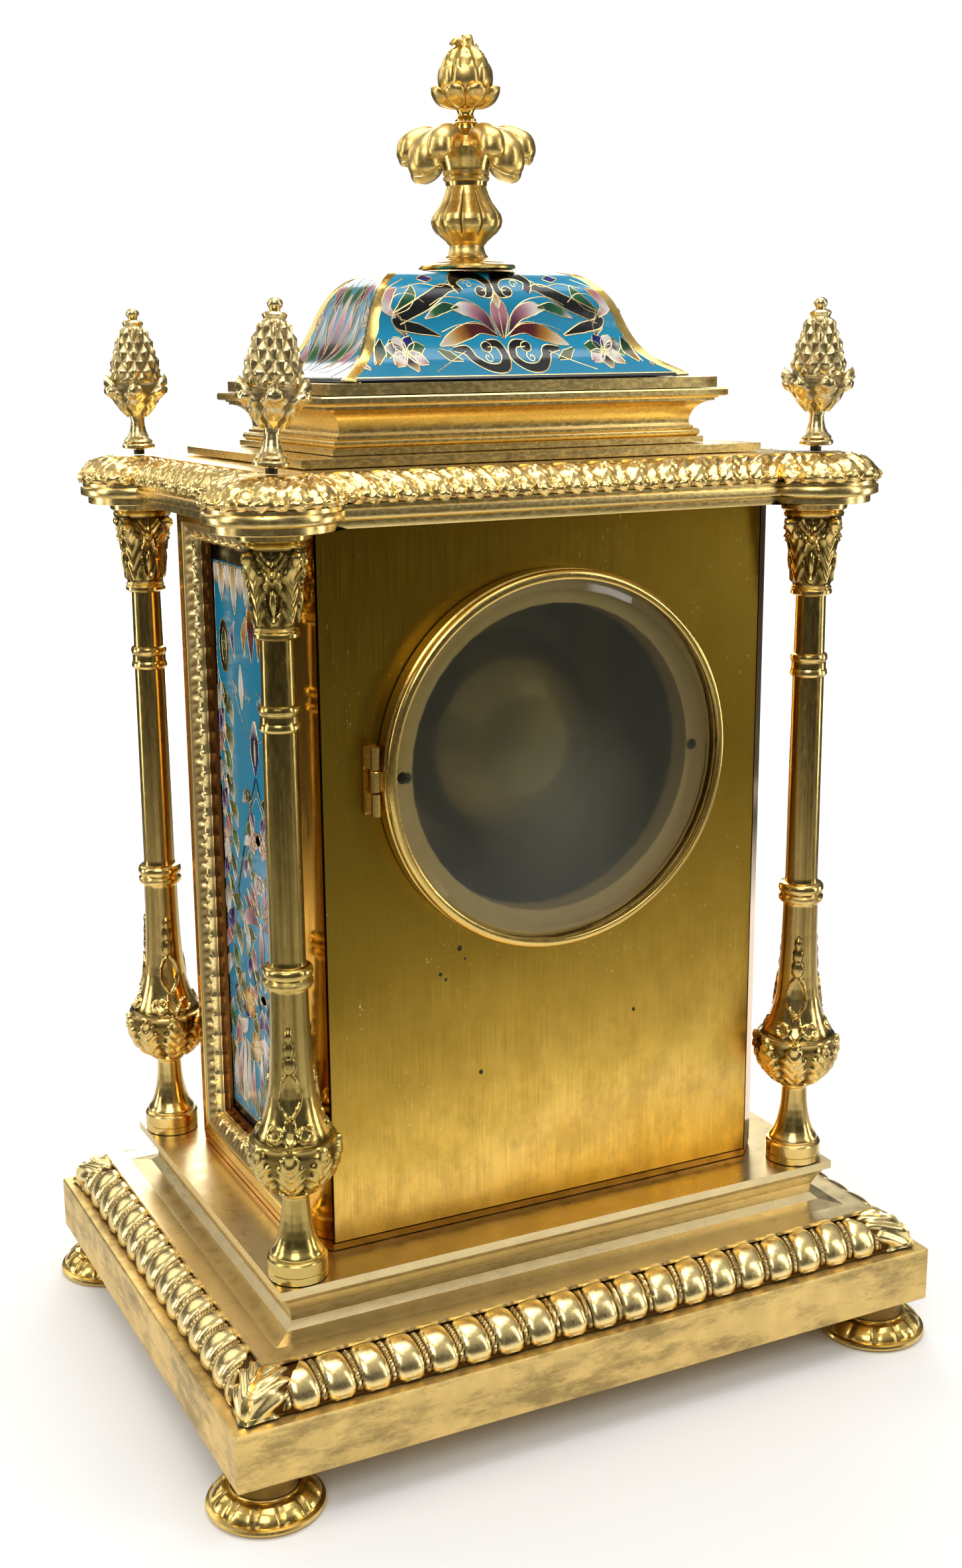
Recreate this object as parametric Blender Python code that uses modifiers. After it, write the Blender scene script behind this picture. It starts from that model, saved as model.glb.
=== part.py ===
"""Gilt-brass mantel clock with corner columns, enamel panels and a round pendulum movement.

Run it with: blender --background --python part.py
Metres, +Z up. The origin is the bottom centre of the feet, -Y is the dial side, +Y the rear door side
and +X the right-hand side as seen from the dial.
"""

import math

import bmesh
import bpy
from mathutils import Matrix, Vector

OBJECT = "mantel_clock"
MM = 0.001
GAP = 0.3 * MM                      # clearance between touching pieces

# Base
FOOT_X, FOOT_Y, FOOT_R, FOOT_H = 107.5 * MM, 79.4 * MM, 17.4 * MM, 13.5 * MM
SLAB_X, SLAB_Y, SLAB_H = 120.0 * MM, 92.0 * MM, 17.9 * MM
SLAB_TOP = FOOT_H + SLAB_H
GADROON_X, GADROON_Y = 117.4 * MM, 89.4 * MM
GADROON_RUN, GADROON_H = 10.3 * MM, 9.6 * MM
SOCLE_X, SOCLE_Y = 106.7 * MM, 78.4 * MM
SOCLE_Z = SLAB_TOP + GADROON_H + 2 * GAP
LEDGE_TOP = FOOT_H + 44.4 * MM

# Case
CASE_X, CASE_Y = 81.5 * MM, 52.5 * MM      # half width and half depth over the panels
CHAMFER_X, CHAMFER_Y = 7.7 * MM, 8.1 * MM  # canted corners
CASE_Z = LEDGE_TOP + GAP
FLOOR_T = 2.0 * MM
PANEL_Z = CASE_Z + FLOOR_T + GAP
CASE_TOP = FOOT_H + 259.7 * MM
PLATE_T = 3.0 * MM
FRAME_T = 7.2 * MM                         # thickness of the panel frames
WINDOW_INSET = 11.4 * MM                   # from a frame's outer edge to its window
ENAMEL_T = 2.4 * MM
ENAMEL_LAP = 4.0 * MM

# Columns, on the lobed corners of the cornice
COLUMN_X, COLUMN_Y = 88.0 * MM, 59.5 * MM
CORNICE_Z = FOOT_H + 260.0 * MM
ATTIC_Z = FOOT_H + 275.0 * MM
FINIAL_LEAN = 3.3                          # degrees, the back right pineapple only

# Movement and its round openings
DIAL_Z = FOOT_H + 187.9 * MM               # height of the dial and rear door centres
HOLE_R = 50.5 * MM
SEAT_R, SEAT_BORE = 50.2 * MM, 46.5 * MM
BEZEL_R, BEZEL_BORE, LIP_BORE = 56.7 * MM, 54.6 * MM, 53.8 * MM
BEZEL_NEAR, BEZEL_FAR = 53.1 * MM, 61.2 * MM
GLASS_R = 54.3 * MM
HINGE_X, HINGE_Y, HINGE_R, HINGE_L = 58.9 * MM, 57.0 * MM, 1.5 * MM, 20.0 * MM
PLATE_R = 44.0 * MM
FRONT_PLATE_Y, BACK_PLATE_Y = -40.0 * MM, -8.0 * MM
MOVEMENT_PLATE_T = 2.0 * MM
PIVOT_PLAY = 0.25 * MM
TOOTH_RISE, TOOTH_SINK = 0.19, 0.25        # height above and depth below the pitch line, in tooth pitches
TOOTH_ROOT, TOOTH_TIP = 0.24, 0.09         # half widths of a tooth, in tooth pitches

GILT = ((0.83, 0.60, 0.26), 0.30, 1.0)
OLD_GILT = ((0.70, 0.54, 0.27), 0.38, 1.0)
BRUSHED = ((0.72, 0.50, 0.16), 0.34, 1.0)
BRASS = ((0.78, 0.62, 0.30), 0.35, 1.0)
STEEL = ((0.42, 0.43, 0.45), 0.30, 1.0)
BLUED = ((0.05, 0.06, 0.12), 0.35, 1.0)
ENAMEL = ((0.10, 0.45, 0.62), 0.18, 0.0)
CREAM = ((0.88, 0.85, 0.76), 0.25, 0.0)
GLASS = ((0.62, 0.66, 0.66), 0.08, 0.0)


def start():
    """Empties the scene and makes the two collections."""
    for obj in list(bpy.data.objects):
        bpy.data.objects.remove(obj, do_unlink=True)
    made = []
    for name in (OBJECT, "cutters"):
        collection = bpy.data.collections.new(name)
        bpy.context.scene.collection.children.link(collection)
        made.append(collection)
    return made


PARTS, CUTTERS = start()


def paint(obj, finish):
    """Gives obj its own Principled material."""
    colour, roughness, metallic = finish
    mat = bpy.data.materials.new(obj.name)
    mat.use_nodes = True
    shader = mat.node_tree.nodes["Principled BSDF"]
    shader.inputs["Base Color"].default_value = (*colour, 1.0)
    shader.inputs["Roughness"].default_value = roughness
    shader.inputs["Metallic"].default_value = metallic
    obj.data.materials.clear()
    obj.data.materials.append(mat)
    return obj


def place(obj, finish):
    """Puts obj in the parts collection, or in the cutters where finish is None."""
    for old in list(obj.users_collection):
        old.objects.unlink(obj)
    (CUTTERS if finish is None else PARTS).objects.link(obj)
    if finish is None:
        obj.hide_render = True
        obj.display_type = "WIRE"
        return obj
    return paint(obj, finish)


def box(name, low, high, finish, bevel=0.0):
    """A block between two corners, with its scale applied and its edges eased."""
    low, high = Vector(low), Vector(high)
    bpy.ops.mesh.primitive_cube_add(size=1.0)
    obj = bpy.context.active_object
    obj.name = name
    obj.data.transform(Matrix.Diagonal((*(high - low), 1.0)))
    obj.location = (low + high) / 2
    if bevel:
        edges = obj.modifiers.new("edges", "BEVEL")
        edges.width = bevel
        edges.segments = 1
    return place(obj, finish)


def rod(name, radius, start_at, end_at, finish, sides=12):
    """A cylinder between two points."""
    start_at, end_at = Vector(start_at), Vector(end_at)
    run = end_at - start_at
    bpy.ops.mesh.primitive_cylinder_add(vertices=sides, radius=radius, depth=run.length)
    obj = bpy.context.active_object
    obj.name = name
    obj.rotation_euler = run.to_track_quat("Z", "Y").to_euler()
    obj.location = (start_at + end_at) / 2
    return place(obj, finish)


def turned(name, profile, finish, at=(0, 0, 0), along="Z", steps=24, ring=False):
    """A turned piece. The profile's (radius, height) points run down its outer side; a ring's profile closes."""
    mesh = bpy.data.meshes.new(name)
    points = [(radius, 0.0, height) for radius, height in profile]
    edges = [(i, i + 1) for i in range(len(points) - 1)]
    if ring:
        edges.append((len(points) - 1, 0))
    mesh.from_pydata(points, edges, [])
    obj = bpy.data.objects.new(name, mesh)
    screw = obj.modifiers.new("turn", "SCREW")
    screw.steps = steps
    screw.render_steps = steps
    screw.use_merge_vertices = True
    screw.merge_threshold = 0.00001
    screw.use_smooth_shade = True
    obj.location = at
    if along == "Y":
        obj.rotation_euler = (-math.pi / 2, 0, 0)
    if along == "-Y":
        obj.rotation_euler = (math.pi / 2, 0, 0)
    return place(obj, finish)


def circle(radius, count=48, centre=(0.0, 0.0)):
    turn = 2 * math.pi / count
    return [(centre[0] + radius * math.cos(turn * i), centre[1] + radius * math.sin(turn * i)) for i in range(count)]


def rectangle(half_x, half_y, centre=(0.0, 0.0)):
    signs = ((-1, -1), (1, -1), (1, 1), (-1, 1))
    return [(centre[0] + sx * half_x, centre[1] + sy * half_y) for sx, sy in signs]


def flat(name, outlines, thickness, finish, at=(0, 0, 0), facing="Z", turn=0.0):
    """A flat plate from closed outlines, the first its edge and the rest its holes, centred on at.

    Facing Y, an outline's second coordinate is height and its first runs along +X.
    Facing X, its second coordinate is height and its first runs along +Y.
    """
    curve = bpy.data.curves.new(name + "_outline", "CURVE")
    curve.dimensions = "2D"
    curve.fill_mode = "BOTH"
    curve.extrude = thickness / 2
    for outline in outlines:
        spline = curve.splines.new("POLY")
        spline.points.add(len(outline) - 1)
        for point, (x, y) in zip(spline.points, outline):
            point.co = (x, y, 0.0, 1.0)
        spline.use_cyclic_u = True
    guide = bpy.data.objects.new(name + "_guide", curve)
    bpy.context.scene.collection.objects.link(guide)
    bpy.context.view_layer.update()
    evaluated = guide.evaluated_get(bpy.context.evaluated_depsgraph_get())
    mesh = bpy.data.meshes.new_from_object(evaluated)
    bpy.data.objects.remove(guide, do_unlink=True)
    weld(mesh)
    obj = bpy.data.objects.new(name, mesh)
    stand = {"Z": Matrix(), "Y": Matrix.Rotation(math.pi / 2, 4, "X"),
             "X": Matrix.Rotation(math.pi / 2, 4, "Z") @ Matrix.Rotation(math.pi / 2, 4, "X")}[facing]
    mesh.transform(stand @ Matrix.Rotation(turn, 4, "Z"))
    obj.location = at
    return place(obj, finish)


def weld(mesh):
    """Joins the loose caps of a converted curve to its sides and points every face outwards."""
    work = bmesh.new()
    work.from_mesh(mesh)
    bmesh.ops.remove_doubles(work, verts=work.verts, dist=0.000001)
    bmesh.ops.recalc_face_normals(work, faces=work.faces)
    work.to_mesh(mesh)
    work.free()


def loft(name, loops, finish):
    """A solid through level loops of (x, y, z) points with equal counts, from the bottom up."""
    mesh = bpy.data.meshes.new(name)
    count = len(loops[0])
    points = [point for loop in loops for point in loop]
    faces = [list(range(count - 1, -1, -1))]
    for level in range(len(loops) - 1):
        for i in range(count):
            a, b = level * count + i, level * count + (i + 1) % count
            faces.append([a, b, b + count, a + count])
    last = (len(loops) - 1) * count
    faces.append([last + i for i in range(count)])
    mesh.from_pydata(points, [], faces)
    obj = bpy.data.objects.new(name, mesh)
    return place(obj, finish)


def moulded(name, profile, finish):
    """A rectangular moulded block. The profile's (half_x, half_y, height) rows run from the bottom up."""
    return loft(name, [[(x, y, z) for x, y in rectangle(hx, hy)] for hx, hy, z in profile], finish)


def fuse(main, *others):
    """Joins other solids into main with Boolean unions; the others become construction pieces."""
    for other in others:
        join = main.modifiers.new("join", "BOOLEAN")
        join.operation = "UNION"
        join.solver = "EXACT"
        join.object = other
    return main


def cut(main, *others):
    for other in others:
        take = main.modifiers.new("cut", "BOOLEAN")
        take.operation = "DIFFERENCE"
        take.solver = "EXACT"
        take.object = other
    return main


# ---------------------------------------------------------------- base


def foot(name, x, y):
    """A bun foot: neck, collar, bulging cushion and a thin lip that stands on the table."""
    z = [FOOT_H - GAP, FOOT_H - 6.6 * MM, FOOT_H - 7.4 * MM, FOOT_H - 8.0 * MM]
    profile = [(0, z[0]), (9.6 * MM, z[0]), (9.6 * MM, z[1]), (10.4 * MM, z[1]), (10.4 * MM, z[2]),
               (12.6 * MM, z[3]), (14.8 * MM, 4.4 * MM), (15.9 * MM, 2.7 * MM), (FOOT_R, 2.2 * MM),
               (FOOT_R, 0.8 * MM), (15.6 * MM, 0.0), (0, 0.0)]
    turned(name, profile, OLD_GILT, at=(x, y, 0), steps=16)


def base():
    sides = (("front_left", -1, -1), ("front_right", 1, -1), ("back_left", -1, 1), ("back_right", 1, 1))
    for where, sx, sy in sides:
        foot("foot_" + where, sx * FOOT_X, sy * FOOT_Y)
    box("base_slab", (-SLAB_X, -SLAB_Y, FOOT_H), (SLAB_X, SLAB_Y, SLAB_TOP), OLD_GILT, bevel=0.5 * MM)
    bottom = SLAB_TOP + GAP
    rows = []
    for i in range(7):
        turn = i / 6 * math.pi / 2
        inset = GADROON_RUN * (1 - math.cos(turn))
        rows.append((GADROON_X - inset, GADROON_Y - inset, bottom + GADROON_H * math.sin(turn)))
    moulded("gadroon_moulding", rows, OLD_GILT)
    # (inset from the foot fillet, height above the slab's underside)
    cove = ((0.0, 0), (0.0, 1.4), (0.9, 1.4), (6.5, 1.3), (12.4, 2.2), (14.5, 4.2), (14.2, 7.4), (12.6, 11.0),
            (10.9, 13.4), (10.9, 13.7), (9.7, 13.7))
    rows = [(SOCLE_X - inset * MM, SOCLE_Y - inset * MM, SOCLE_Z + rise * MM) for inset, rise in cove]
    rows.append((SOCLE_X - 9.7 * MM, SOCLE_Y - 9.7 * MM, LEDGE_TOP))
    moulded("socle", rows, GILT)


# ---------------------------------------------------------------- columns

# (radius, height above the underside of the base slab), in millimetres, from the top down
COLUMN_PROFILE = (
    (10.2, 259.7), (9.4, 257.0), (9.2, 254.6), (6.6, 242.0), (5.9, 234.4), (6.4, 233.6), (6.4, 231.8),
    (4.6, 231.2), (4.7, 213.4), (5.85, 212.8), (5.85, 206.6), (4.9, 206.0), (5.2, 139.6), (7.1, 138.8),
    (7.1, 133.4), (5.6, 132.6), (6.0, 110.0), (7.4, 97.0), (10.6, 89.4), (13.1, 85.0), (11.6, 80.4),
    (5.2, 72.6), (4.1, 68.6), (5.0, 59.0), (7.7, 52.2), (8.9, 50.8), (8.9, 44.7),
)


def columns():
    top, bottom = COLUMN_PROFILE[0][1], COLUMN_PROFILE[-1][1]
    points = [(0, top)] + list(COLUMN_PROFILE) + [(0, bottom)]
    profile = [(radius * MM, FOOT_H + height * MM) for radius, height in points]
    sides = (("front_left", -1, -1), ("front_right", 1, -1), ("back_left", -1, 1), ("back_right", 1, 1))
    for where, sx, sy in sides:
        turned("column_" + where, profile, OLD_GILT, at=(sx * COLUMN_X, sy * COLUMN_Y, 0), steps=14)


# ---------------------------------------------------------------- case


def case_frame():
    """The floor plate with four canted corner posts standing on it, in one piece."""
    edge_x, edge_y = CASE_X - GAP, CASE_Y - GAP
    floor = [(edge_x, edge_y - CHAMFER_Y), (edge_x - CHAMFER_X, edge_y)]
    corners = floor + [(-x, y) for x, y in reversed(floor)]
    corners += [(-x, -y) for x, y in corners]
    main = flat("case_frame", [corners], FLOOR_T, GILT, at=(0, 0, CASE_Z + FLOOR_T / 2))
    inner_x, inner_y = edge_x - CHAMFER_X + GAP, edge_y - CHAMFER_Y + GAP
    for sx in (-1, 1):
        for sy in (-1, 1):
            outline = [(sx * x, sy * y) for x, y in ((edge_x, inner_y), (inner_x, edge_y), (inner_x, inner_y))]
            low, high = CASE_Z + FLOOR_T / 2, CASE_TOP - GAP
            post = flat("post", [outline], high - low, None, at=(0, 0, (low + high) / 2))
            fuse(main, post)


def back_panel():
    height = CASE_TOP - PANEL_Z
    outline = rectangle(CASE_X - CHAMFER_X - 2 * GAP, height / 2 - GAP)
    hole = circle(HOLE_R, 48, (0.0, DIAL_Z - PANEL_Z - height / 2))
    flat("back_panel", [outline, hole], PLATE_T, BRUSHED, facing="Y",
         at=(0, CASE_Y - PLATE_T / 2, PANEL_Z + height / 2))


def window_frame(name, half_width, centre, facing):
    """A thick plate with a window, whose sloping chased border is worked into its outer face."""
    height = CASE_TOP - PANEL_Z
    outline = rectangle(half_width, height / 2 - GAP)
    window = rectangle(half_width - WINDOW_INSET, height / 2 - WINDOW_INSET - 1.5 * MM)
    return flat(name, [outline, window], FRAME_T, GILT, at=(*centre, PANEL_Z + height / 2), facing=facing)


def panels():
    back_panel()
    side_half = CASE_Y - CHAMFER_Y - GAP
    height = CASE_TOP - PANEL_Z
    enamel_h = height / 2 - WINDOW_INSET + ENAMEL_LAP
    for side, sx in (("left", -1), ("right", 1)):
        window_frame("side_frame_" + side, side_half, (sx * (CASE_X - FRAME_T / 2), 0), "X")
        offset = CASE_X - FRAME_T - GAP - ENAMEL_T / 2
        flat("side_enamel_" + side, [rectangle(side_half - WINDOW_INSET + ENAMEL_LAP, enamel_h)], ENAMEL_T, ENAMEL,
             at=(sx * offset, 0, PANEL_Z + height / 2), facing="X")
    front_half = CASE_X - CHAMFER_X - 2 * GAP
    window_frame("front_frame", front_half, (0, -(CASE_Y - FRAME_T / 2)), "Y")
    hole = circle(HOLE_R, 48, (0.0, DIAL_Z - PANEL_Z - height / 2))
    offset = CASE_Y - FRAME_T - GAP - ENAMEL_T / 2
    flat("front_enamel", [rectangle(front_half - WINDOW_INSET + ENAMEL_LAP, enamel_h), hole], ENAMEL_T, ENAMEL,
         at=(0, -offset, PANEL_Z + height / 2), facing="Y")


# ---------------------------------------------------------------- cornice, attic and dome


def lobed(run, radius, z, arc_steps=13):
    """A rectangle whose corners swell into round lobes about the column axes.

    run is how far the straight sides lie outside the column axes (negative: inside).
    """
    reach = math.acos(max(-1.0, min(1.0, run / radius)))
    arc = [math.pi / 4 + (i / (arc_steps - 1) * 2 - 1) * (math.pi / 4 + reach) for i in range(arc_steps)]
    corner = [(COLUMN_X + radius * math.cos(t), COLUMN_Y + radius * math.sin(t)) for t in arc]
    points = list(corner)
    points += [(-x, y) for x, y in reversed(corner)]
    points += [(-x, -y) for x, y in corner]
    points += [(x, -y) for x, y in reversed(corner)]
    return [(x, y, z) for x, y in points]


def cornice():
    """Lobed plates from the bottom up: a lower plate, a band with a fillet, a chased moulding and a top plate."""
    z = FOOT_H
    low = [(4.7, 16.8, 260.0), (4.7, 16.8, 262.3), (5.6, 17.9, 262.3), (7.0, 19.1, 262.7), (7.0, 19.1, 266.6)]
    loft("cornice_bed", [lobed(run * MM, r * MM, z + h * MM) for run, r, h in low], GILT)
    ovolo = [(6.7, 18.7, 266.9), (6.6, 18.6, 268.2), (5.6, 17.4, 270.0), (3.4, 14.8, 271.6), (-0.9, 10.0, 272.6)]
    loft("cornice_moulding", [lobed(run * MM, r * MM, z + h * MM) for run, r, h in ovolo], GILT)
    plate = [(-1.5, 8.9, 272.9), (-1.5, 8.9, 274.7)]
    loft("cornice_top_plate", [lobed(run * MM, r * MM, z + h * MM) for run, r, h in plate], GILT)


def attic():
    z = FOOT_H
    plate = [(73.8, 47.4, 275.0), (73.8, 47.4, 275.4), (75.3, 48.9, 275.4), (75.3, 48.9, 277.5)]
    moulded("attic_plate", [(x * MM, y * MM, z + h * MM) for x, y, h in plate], GILT)
    cavetto = [(61.6, 37.6, 277.8), (61.2, 37.2, 279.6), (59.6, 35.6, 282.4), (58.7, 34.7, 285.2), (59.2, 35.2, 287.8),
               (61.2, 37.4, 289.8), (64.2, 40.6, 291.2), (64.6, 41.0, 291.9), (66.7, 43.4, 291.9), (66.7, 43.4, 294.0)]
    moulded("attic_cavetto", [(x * MM, y * MM, z + h * MM) for x, y, h in cavetto], GILT)
    slab = [(63.4, 42.2, 294.3), (63.4, 42.2, 297.4)]
    moulded("top_slab", [(x * MM, y * MM, z + h * MM) for x, y, h in slab], GILT)
    dome = [(56.8, 36.6, 297.7), (55.6, 35.4, 299.0), (50.6, 30.4, 301.8), (46.6, 26.4, 305.4), (44.0, 23.9, 309.4),
            (42.2, 22.3, 313.6), (40.6, 20.9, 318.0), (38.4, 19.0, 322.0), (35.2, 16.2, 325.6), (31.6, 13.2, 327.8),
            (27.0, 9.6, 329.3)]
    moulded("enamel_dome", [(x * MM, y * MM, z + h * MM) for x, y, h in dome], ENAMEL)


def top_finial():
    """The urn, its crown of scrolls and the flame, each a separate casting threaded on one hidden rod."""
    z = FOOT_H
    disc = [(0, 333.0), (8.0, 333.0), (9.3, 332.7), (11.6, 332.0), (14.75, 331.4), (14.75, 329.6), (0, 329.6)]
    vase = [(0, 358.8), (7.0, 358.8), (7.0, 355.6), (6.1, 354.6), (6.3, 351.6), (9.0, 348.0), (10.5, 344.2), (9.4, 340.6),
            (6.3, 338.2), (5.3, 336.6), (6.2, 334.4), (6.2, 333.3), (0, 333.3)]
    crown = [(0, 372.0), (6.0, 372.2), (11.0, 371.8), (17.0, 370.4), (21.4, 366.4), (22.3, 362.4), (20.8, 357.6),
             (17.6, 354.2), (14.0, 354.0), (11.0, 357.4), (8.0, 359.1), (0, 359.1)]
    flame = [(0, 397.8), (1.6, 396.6), (4.6, 392.8), (7.4, 387.6), (7.2, 384.2), (10.5, 381.0), (9.8, 379.6), (6.0, 377.2),
             (3.0, 375.4), (2.3, 374.0), (3.2, 372.6), (0, 372.6)]
    names = (("urn_foot_disc", disc), ("urn_vase", vase), ("scroll_crown", crown), ("flame_bud", flame))
    for name, profile in names:
        turned(name, [(r * MM, z + h * MM) for r, h in profile], GILT, steps=16)


# (radius, height above the cornice top plate), in millimetres, from the top down
PINEAPPLE_PROFILE = (
    (0, 45.2), (1.5, 44.8), (2.1, 43.6), (1.3, 42.0), (3.3, 40.6), (2.6, 39.2), (3.8, 37.0), (7.0, 29.0), (7.9, 23.6),
    (10.3, 21.0), (6.6, 15.0), (2.2, 11.6), (2.4, 8.8), (5.2, 4.4), (5.2, 1.9), (1.7, 1.7), (1.7, 0), (0, 0),
)


def pineapples():
    """Corner finials. Each screws onto a short stud, and the back right one leans a little on its stud."""
    z = ATTIC_Z
    profile = [(r * MM, h * MM) for r, h in PINEAPPLE_PROFILE]
    sides = (("front_left", -1, -1), ("front_right", 1, -1), ("back_left", -1, 1), ("back_right", 1, 1))
    for where, sx, sy in sides:
        finial = turned("pineapple_finial_" + where, profile, OLD_GILT, at=(sx * COLUMN_X, sy * COLUMN_Y, z), steps=12)
        if where == "back_right":
            finial.rotation_euler = (0, math.radians(-FINIAL_LEAN), 0)


# ---------------------------------------------------------------- doors


def bezel(name, side):
    """A round door frame, with the barrel of its hinge on one side."""
    near, far = BEZEL_NEAR, BEZEL_FAR
    ring = [(BEZEL_R - 0.8 * MM, far), (BEZEL_R, far - 0.9 * MM), (BEZEL_R, near), (BEZEL_BORE, near),
            (BEZEL_BORE, far - 1.0 * MM), (LIP_BORE, far - 1.0 * MM), (LIP_BORE, far)]
    along = "Y" if side > 0 else "-Y"
    obj = turned(name, ring, GILT, at=(0, 0, DIAL_Z), along=along, steps=40, ring=True)
    y = side * HINGE_Y
    half = HINGE_L / 6 - GAP / 2
    arm = box("hinge_arm", (BEZEL_R - 1.2 * MM, y - 1.0 * MM, DIAL_Z - half + GAP),
              (HINGE_X, y + 1.0 * MM, DIAL_Z + half - GAP), None)
    barrel = rod("hinge_barrel", HINGE_R, (HINGE_X, y, DIAL_Z - half), (HINGE_X, y, DIAL_Z + half), None)
    return fuse(obj, arm, barrel)


def door_glass(name, side):
    """A flat glass disc with a wide bevelled margin."""
    profile = [(0, 59.8 * MM), (50.6 * MM, 59.8 * MM), (GLASS_R, 58.6 * MM), (GLASS_R, 57.6 * MM), (0, 57.6 * MM)]
    turned(name, profile, GLASS, at=(0, 0, DIAL_Z), along="Y" if side > 0 else "-Y", steps=40)


def mount_ring(name, side):
    """The fixed ring in the case that seats the movement and carries the outer hinge knuckles."""
    ring = [(53.8 * MM, 53.9 * MM), (53.8 * MM, 52.8 * MM), (SEAT_R, 52.8 * MM), (SEAT_R, 46.0 * MM),
            (SEAT_BORE, 46.0 * MM), (SEAT_BORE, 53.9 * MM)]
    turned(name, ring, GILT, at=(0, 0, DIAL_Z), along="Y" if side > 0 else "-Y", steps=40, ring=True)


def hinge(name, side):
    """The fixed leaf on the case, with two knuckles and the pin through all three."""
    y = side * HINGE_Y
    face = side * (CASE_Y + GAP)
    half, inner = HINGE_L / 2, HINGE_L / 6 + GAP / 2
    low, high = sorted((face, face + side * 1.2 * MM))
    leaf = box(name, (HINGE_X - 1.6 * MM, low, DIAL_Z - half), (HINGE_X + 2.2 * MM, high, DIAL_Z + half), GILT)
    for a, b in ((-half, -inner), (inner, half)):
        knuckle = rod("knuckle", HINGE_R, (HINGE_X, y, DIAL_Z + a), (HINGE_X, y, DIAL_Z + b), None)
        low_y, high_y = sorted((face + side * 0.6 * MM, y))
        web = box("knuckle_web", (HINGE_X - 0.9 * MM, low_y, DIAL_Z + a), (HINGE_X + 1.0 * MM, high_y, DIAL_Z + b), None)
        fuse(leaf, knuckle, web)
    return leaf


def doors():
    for where, side in (("rear", 1), ("front", -1)):
        bezel(where + "_bezel", side)
        door_glass(where + "_glass", side)
        mount_ring(where + "_mount_ring", side)
        hinge(where + "_hinge", side)


# ---------------------------------------------------------------- movement


def gear(teeth, pitch_radius):
    """A toothed outline with a tooth along the outline's +X, slim enough to run with clearance."""
    points = []
    pitch = 2 * math.pi / teeth
    rise, sink = TOOTH_RISE * pitch_radius * pitch, TOOTH_SINK * pitch_radius * pitch
    shares = ((pitch_radius - sink, -TOOTH_ROOT), (pitch_radius + rise, -TOOTH_TIP),
              (pitch_radius + rise, TOOTH_TIP), (pitch_radius - sink, TOOTH_ROOT))
    for i in range(teeth):
        for radius, share in shares:
            angle = pitch * (i + share)
            points.append((radius * math.cos(angle), radius * math.sin(angle)))
    return points


def arbor_at(x, z):
    """A movement position, given from the dial centre as seen from the dial side, in the case's frame."""
    return (x, DIAL_Z + z)


THIRD = arbor_at(-9.0 * MM, 11.25 * MM)
ESCAPE = arbor_at(0.0, 18.4 * MM)
GOING = arbor_at(-18.9 * MM, -7.7 * MM)
STRIKE = arbor_at(18.9 * MM, -7.7 * MM)
CENTRE = arbor_at(0.0, 0.0)
MOTION = arbor_at(0.0, -12.0 * MM)
PALLET = arbor_at(0.0, 32.4 * MM)         # the pendulum swings about the same line
BOB_Z = PALLET[1] - 136.0 * MM
HAMMER = arbor_at(41.0 * MM, -26.0 * MM)


def direction(a, b):
    return math.atan2(b[1] - a[1], b[0] - a[0])


def wheel(name, teeth, pitch_radius, y0, y1, at, first_tooth, finish, bore=0.0):
    """A toothed wheel between two depths, with its first tooth at an angle in the XZ plane."""
    outlines = [gear(teeth, pitch_radius)]
    if bore:
        outlines.append(circle(bore, 16))
    return flat(name, outlines, abs(y1 - y0), finish, at=(at[0], (y0 + y1) / 2, at[1]), facing="Y", turn=first_tooth)


def shaft(name, radius, y0, y1, at, finish=None, sides=8):
    return rod(name, radius, (at[0], y0, at[1]), (at[0], y1, at[1]), finish, sides)


def movement_plates():
    """Two round plates; the pillars are riveted to the front one, so they are one piece with it."""
    def holes(extra):
        return [circle(1.0 * MM + PIVOT_PLAY, 8, (a[0], a[1] - DIAL_Z)) for a in (THIRD, ESCAPE)] + extra
    barrels = [circle(2.6 * MM + PIVOT_PLAY, 16, (a[0], a[1] - DIAL_Z)) for a in (GOING, STRIKE)]
    centre = [circle(2.4 * MM + PIVOT_PLAY, 16)]
    pallets = [circle(0.9 * MM + PIVOT_PLAY, 8, (PALLET[0], PALLET[1] - DIAL_Z))]
    t = MOVEMENT_PLATE_T
    front = flat("movement_front_plate", [circle(PLATE_R, 40)] + holes(barrels + centre + pallets), t, BRASS,
                 at=(0, FRONT_PLATE_Y + t / 2, DIAL_Z), facing="Y")
    for angle in (20, 160, 235, 305):
        a = math.radians(angle)
        foot_at = (38.5 * MM * math.cos(a), DIAL_Z + 38.5 * MM * math.sin(a))
        fuse(front, shaft("pillar", 2.4 * MM, FRONT_PLATE_Y + t / 2, BACK_PLATE_Y - GAP, foot_at))
    small = [circle(1.0 * MM + PIVOT_PLAY, 8)]
    back = flat("movement_back_plate", [circle(PLATE_R, 40)] + holes(barrels + small + pallets), t, BRASS,
                at=(0, BACK_PLATE_Y + t / 2, DIAL_Z), facing="Y")
    cock = box("cock", (-5 * MM, BACK_PLATE_Y + t / 2, PALLET[1] + 3.0 * MM), (5 * MM, 6.4 * MM, PALLET[1] + 7.0 * MM), None)
    stand = shaft("bell_stand", 2.0 * MM, BACK_PLATE_Y + t / 2, 17.0 * MM, arbor_at(-30 * MM, 0.0))
    arm = box("bell_arm", (-31 * MM, 13.5 * MM, DIAL_Z - 1.6 * MM), (2.0 * MM, 16.6 * MM, DIAL_Z + 1.6 * MM), None)
    fuse(back, cock, stand, arm)


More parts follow.
